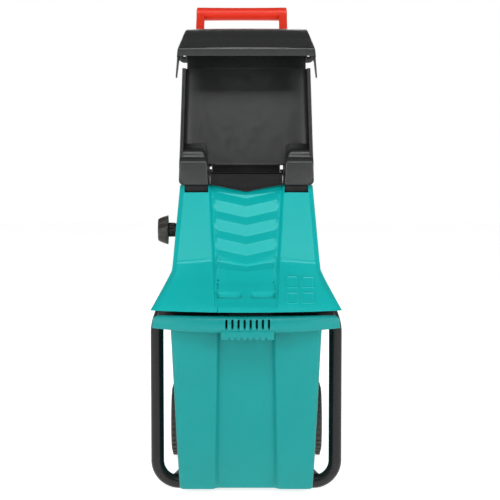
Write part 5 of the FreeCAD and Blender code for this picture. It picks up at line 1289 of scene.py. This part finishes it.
# ---- construction nodes that show as they are ----

CARRIED = {
    "enamel": ["front_leg", "side_rail_left", "side_rail_right", "axle_brackets", "base_plate", "motor_can"],
    "steel": ["frame_bolts", "axle", "cover_brackets", "adjusting_screw"],
    "dark": ["axle_spacers", "axle_caps", "screw_bush", "cooling_fan", "motor_cradle", "run_capacitor",
             "control_box", "power_inlet"],
    "hard_steel": ["drum_bearings", "cutting_drum", "drum_shaft", "drum_gear", "lay_pinion", "lay_gear",
                   "lay_shaft", "motor_pinion", "motor_shaft"],
    "casting": ["cutting_chamber", "discharge_duct", "pressure_plate", "gear_case", "gear_case_lid",
                "motor_end_bell"],
    "iron": ["motor_stator", "motor_rotor"],
}


def carried_nodes():
    for finish, names in CARRIED.items():
        for name in names:
            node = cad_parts[name]
            node.data.materials.clear()
            node.data.materials.append(FINISH[finish])


# ---- studio ----


def studio():
    far = 9000
    corners = [(-far, -far, 0), (far, -far, 0), (far, far, 0), (-far, far, 0)]
    floor = piece("studio_floor", corners, [(0, 1, 2, 3)])
    paper, shader, w = start_material("pale_paper", 0.9)
    place = w.place()
    shade = w.band(w.noise(place, 3.0, 3.0), 0.3, 0.7, 0.84, 0.88)
    w.tree.links.new(shade, shader.inputs["Base Color"])
    shader.inputs["Emission Color"].default_value = (1, 1, 1, 1)
    shader.inputs["Emission Strength"].default_value = 0.8
    floor.data.materials.append(paper)

    world = bpy.data.worlds.new("studio")
    world.use_nodes = True
    sky = Wiring(world.node_tree)
    around = sky.node("ShaderNodeTexCoord").outputs["Generated"]
    level = sky.node("ShaderNodeSeparateXYZ", {0: around}).outputs["Z"]
    glow = sky.band(level, 0.08, 0.34, 1.0, 0.15)
    background = world.node_tree.nodes["Background"]
    world.node_tree.links.new(glow, background.inputs["Strength"])
    background.inputs["Color"].default_value = (1, 1, 1, 1)
    bpy.context.scene.world = world

    lamps = (
        ("key_light", (0.1, -2.3, 3.5), (2.8, 1.0), 66),
        ("left_light", (-2.2, -2.3, 1.3), (1.0, 1.9), 32),
        ("right_light", (2.2, -2.3, 1.3), (1.0, 1.9), 34),
        ("back_light", (0, 3.6, 2.3), (2.4, 0.8), 26),
    )
    for name, place_m, size, power in lamps:
        lamp = bpy.data.lights.new(name, "AREA")
        lamp.shape = "RECTANGLE"
        lamp.size, lamp.size_y = size
        lamp.energy = power
        holder = bpy.data.objects.new(name, lamp)
        holder.location = place_m
        holder.rotation_euler = (Vector((0, 0, 0.6)) - Vector(place_m)).to_track_quat("-Z", "Y").to_euler()
        bpy.context.scene.collection.objects.link(holder)

    lens = bpy.data.cameras.new("view")
    lens.lens = 127.83
    lens.sensor_width = 36
    holder = bpy.data.objects.new("view", lens)
    holder.location = (0.0089, -4.391, 0.93)
    holder.rotation_euler = (math.radians(90 - 4.857), 0, 0)
    bpy.context.scene.collection.objects.link(holder)
    bpy.context.scene.camera = holder
    bpy.context.scene.view_settings.view_transform = "Standard"


studio()
carried_nodes()
front_cover()
rear_cover()
hopper()
inlet_chute()
hood()
carry_handle()
screws()
adjusting_knob()
bin_tub()
bin_trim()
for wheel_side in ("left", "right"):
    wheel(wheel_side)
controls()
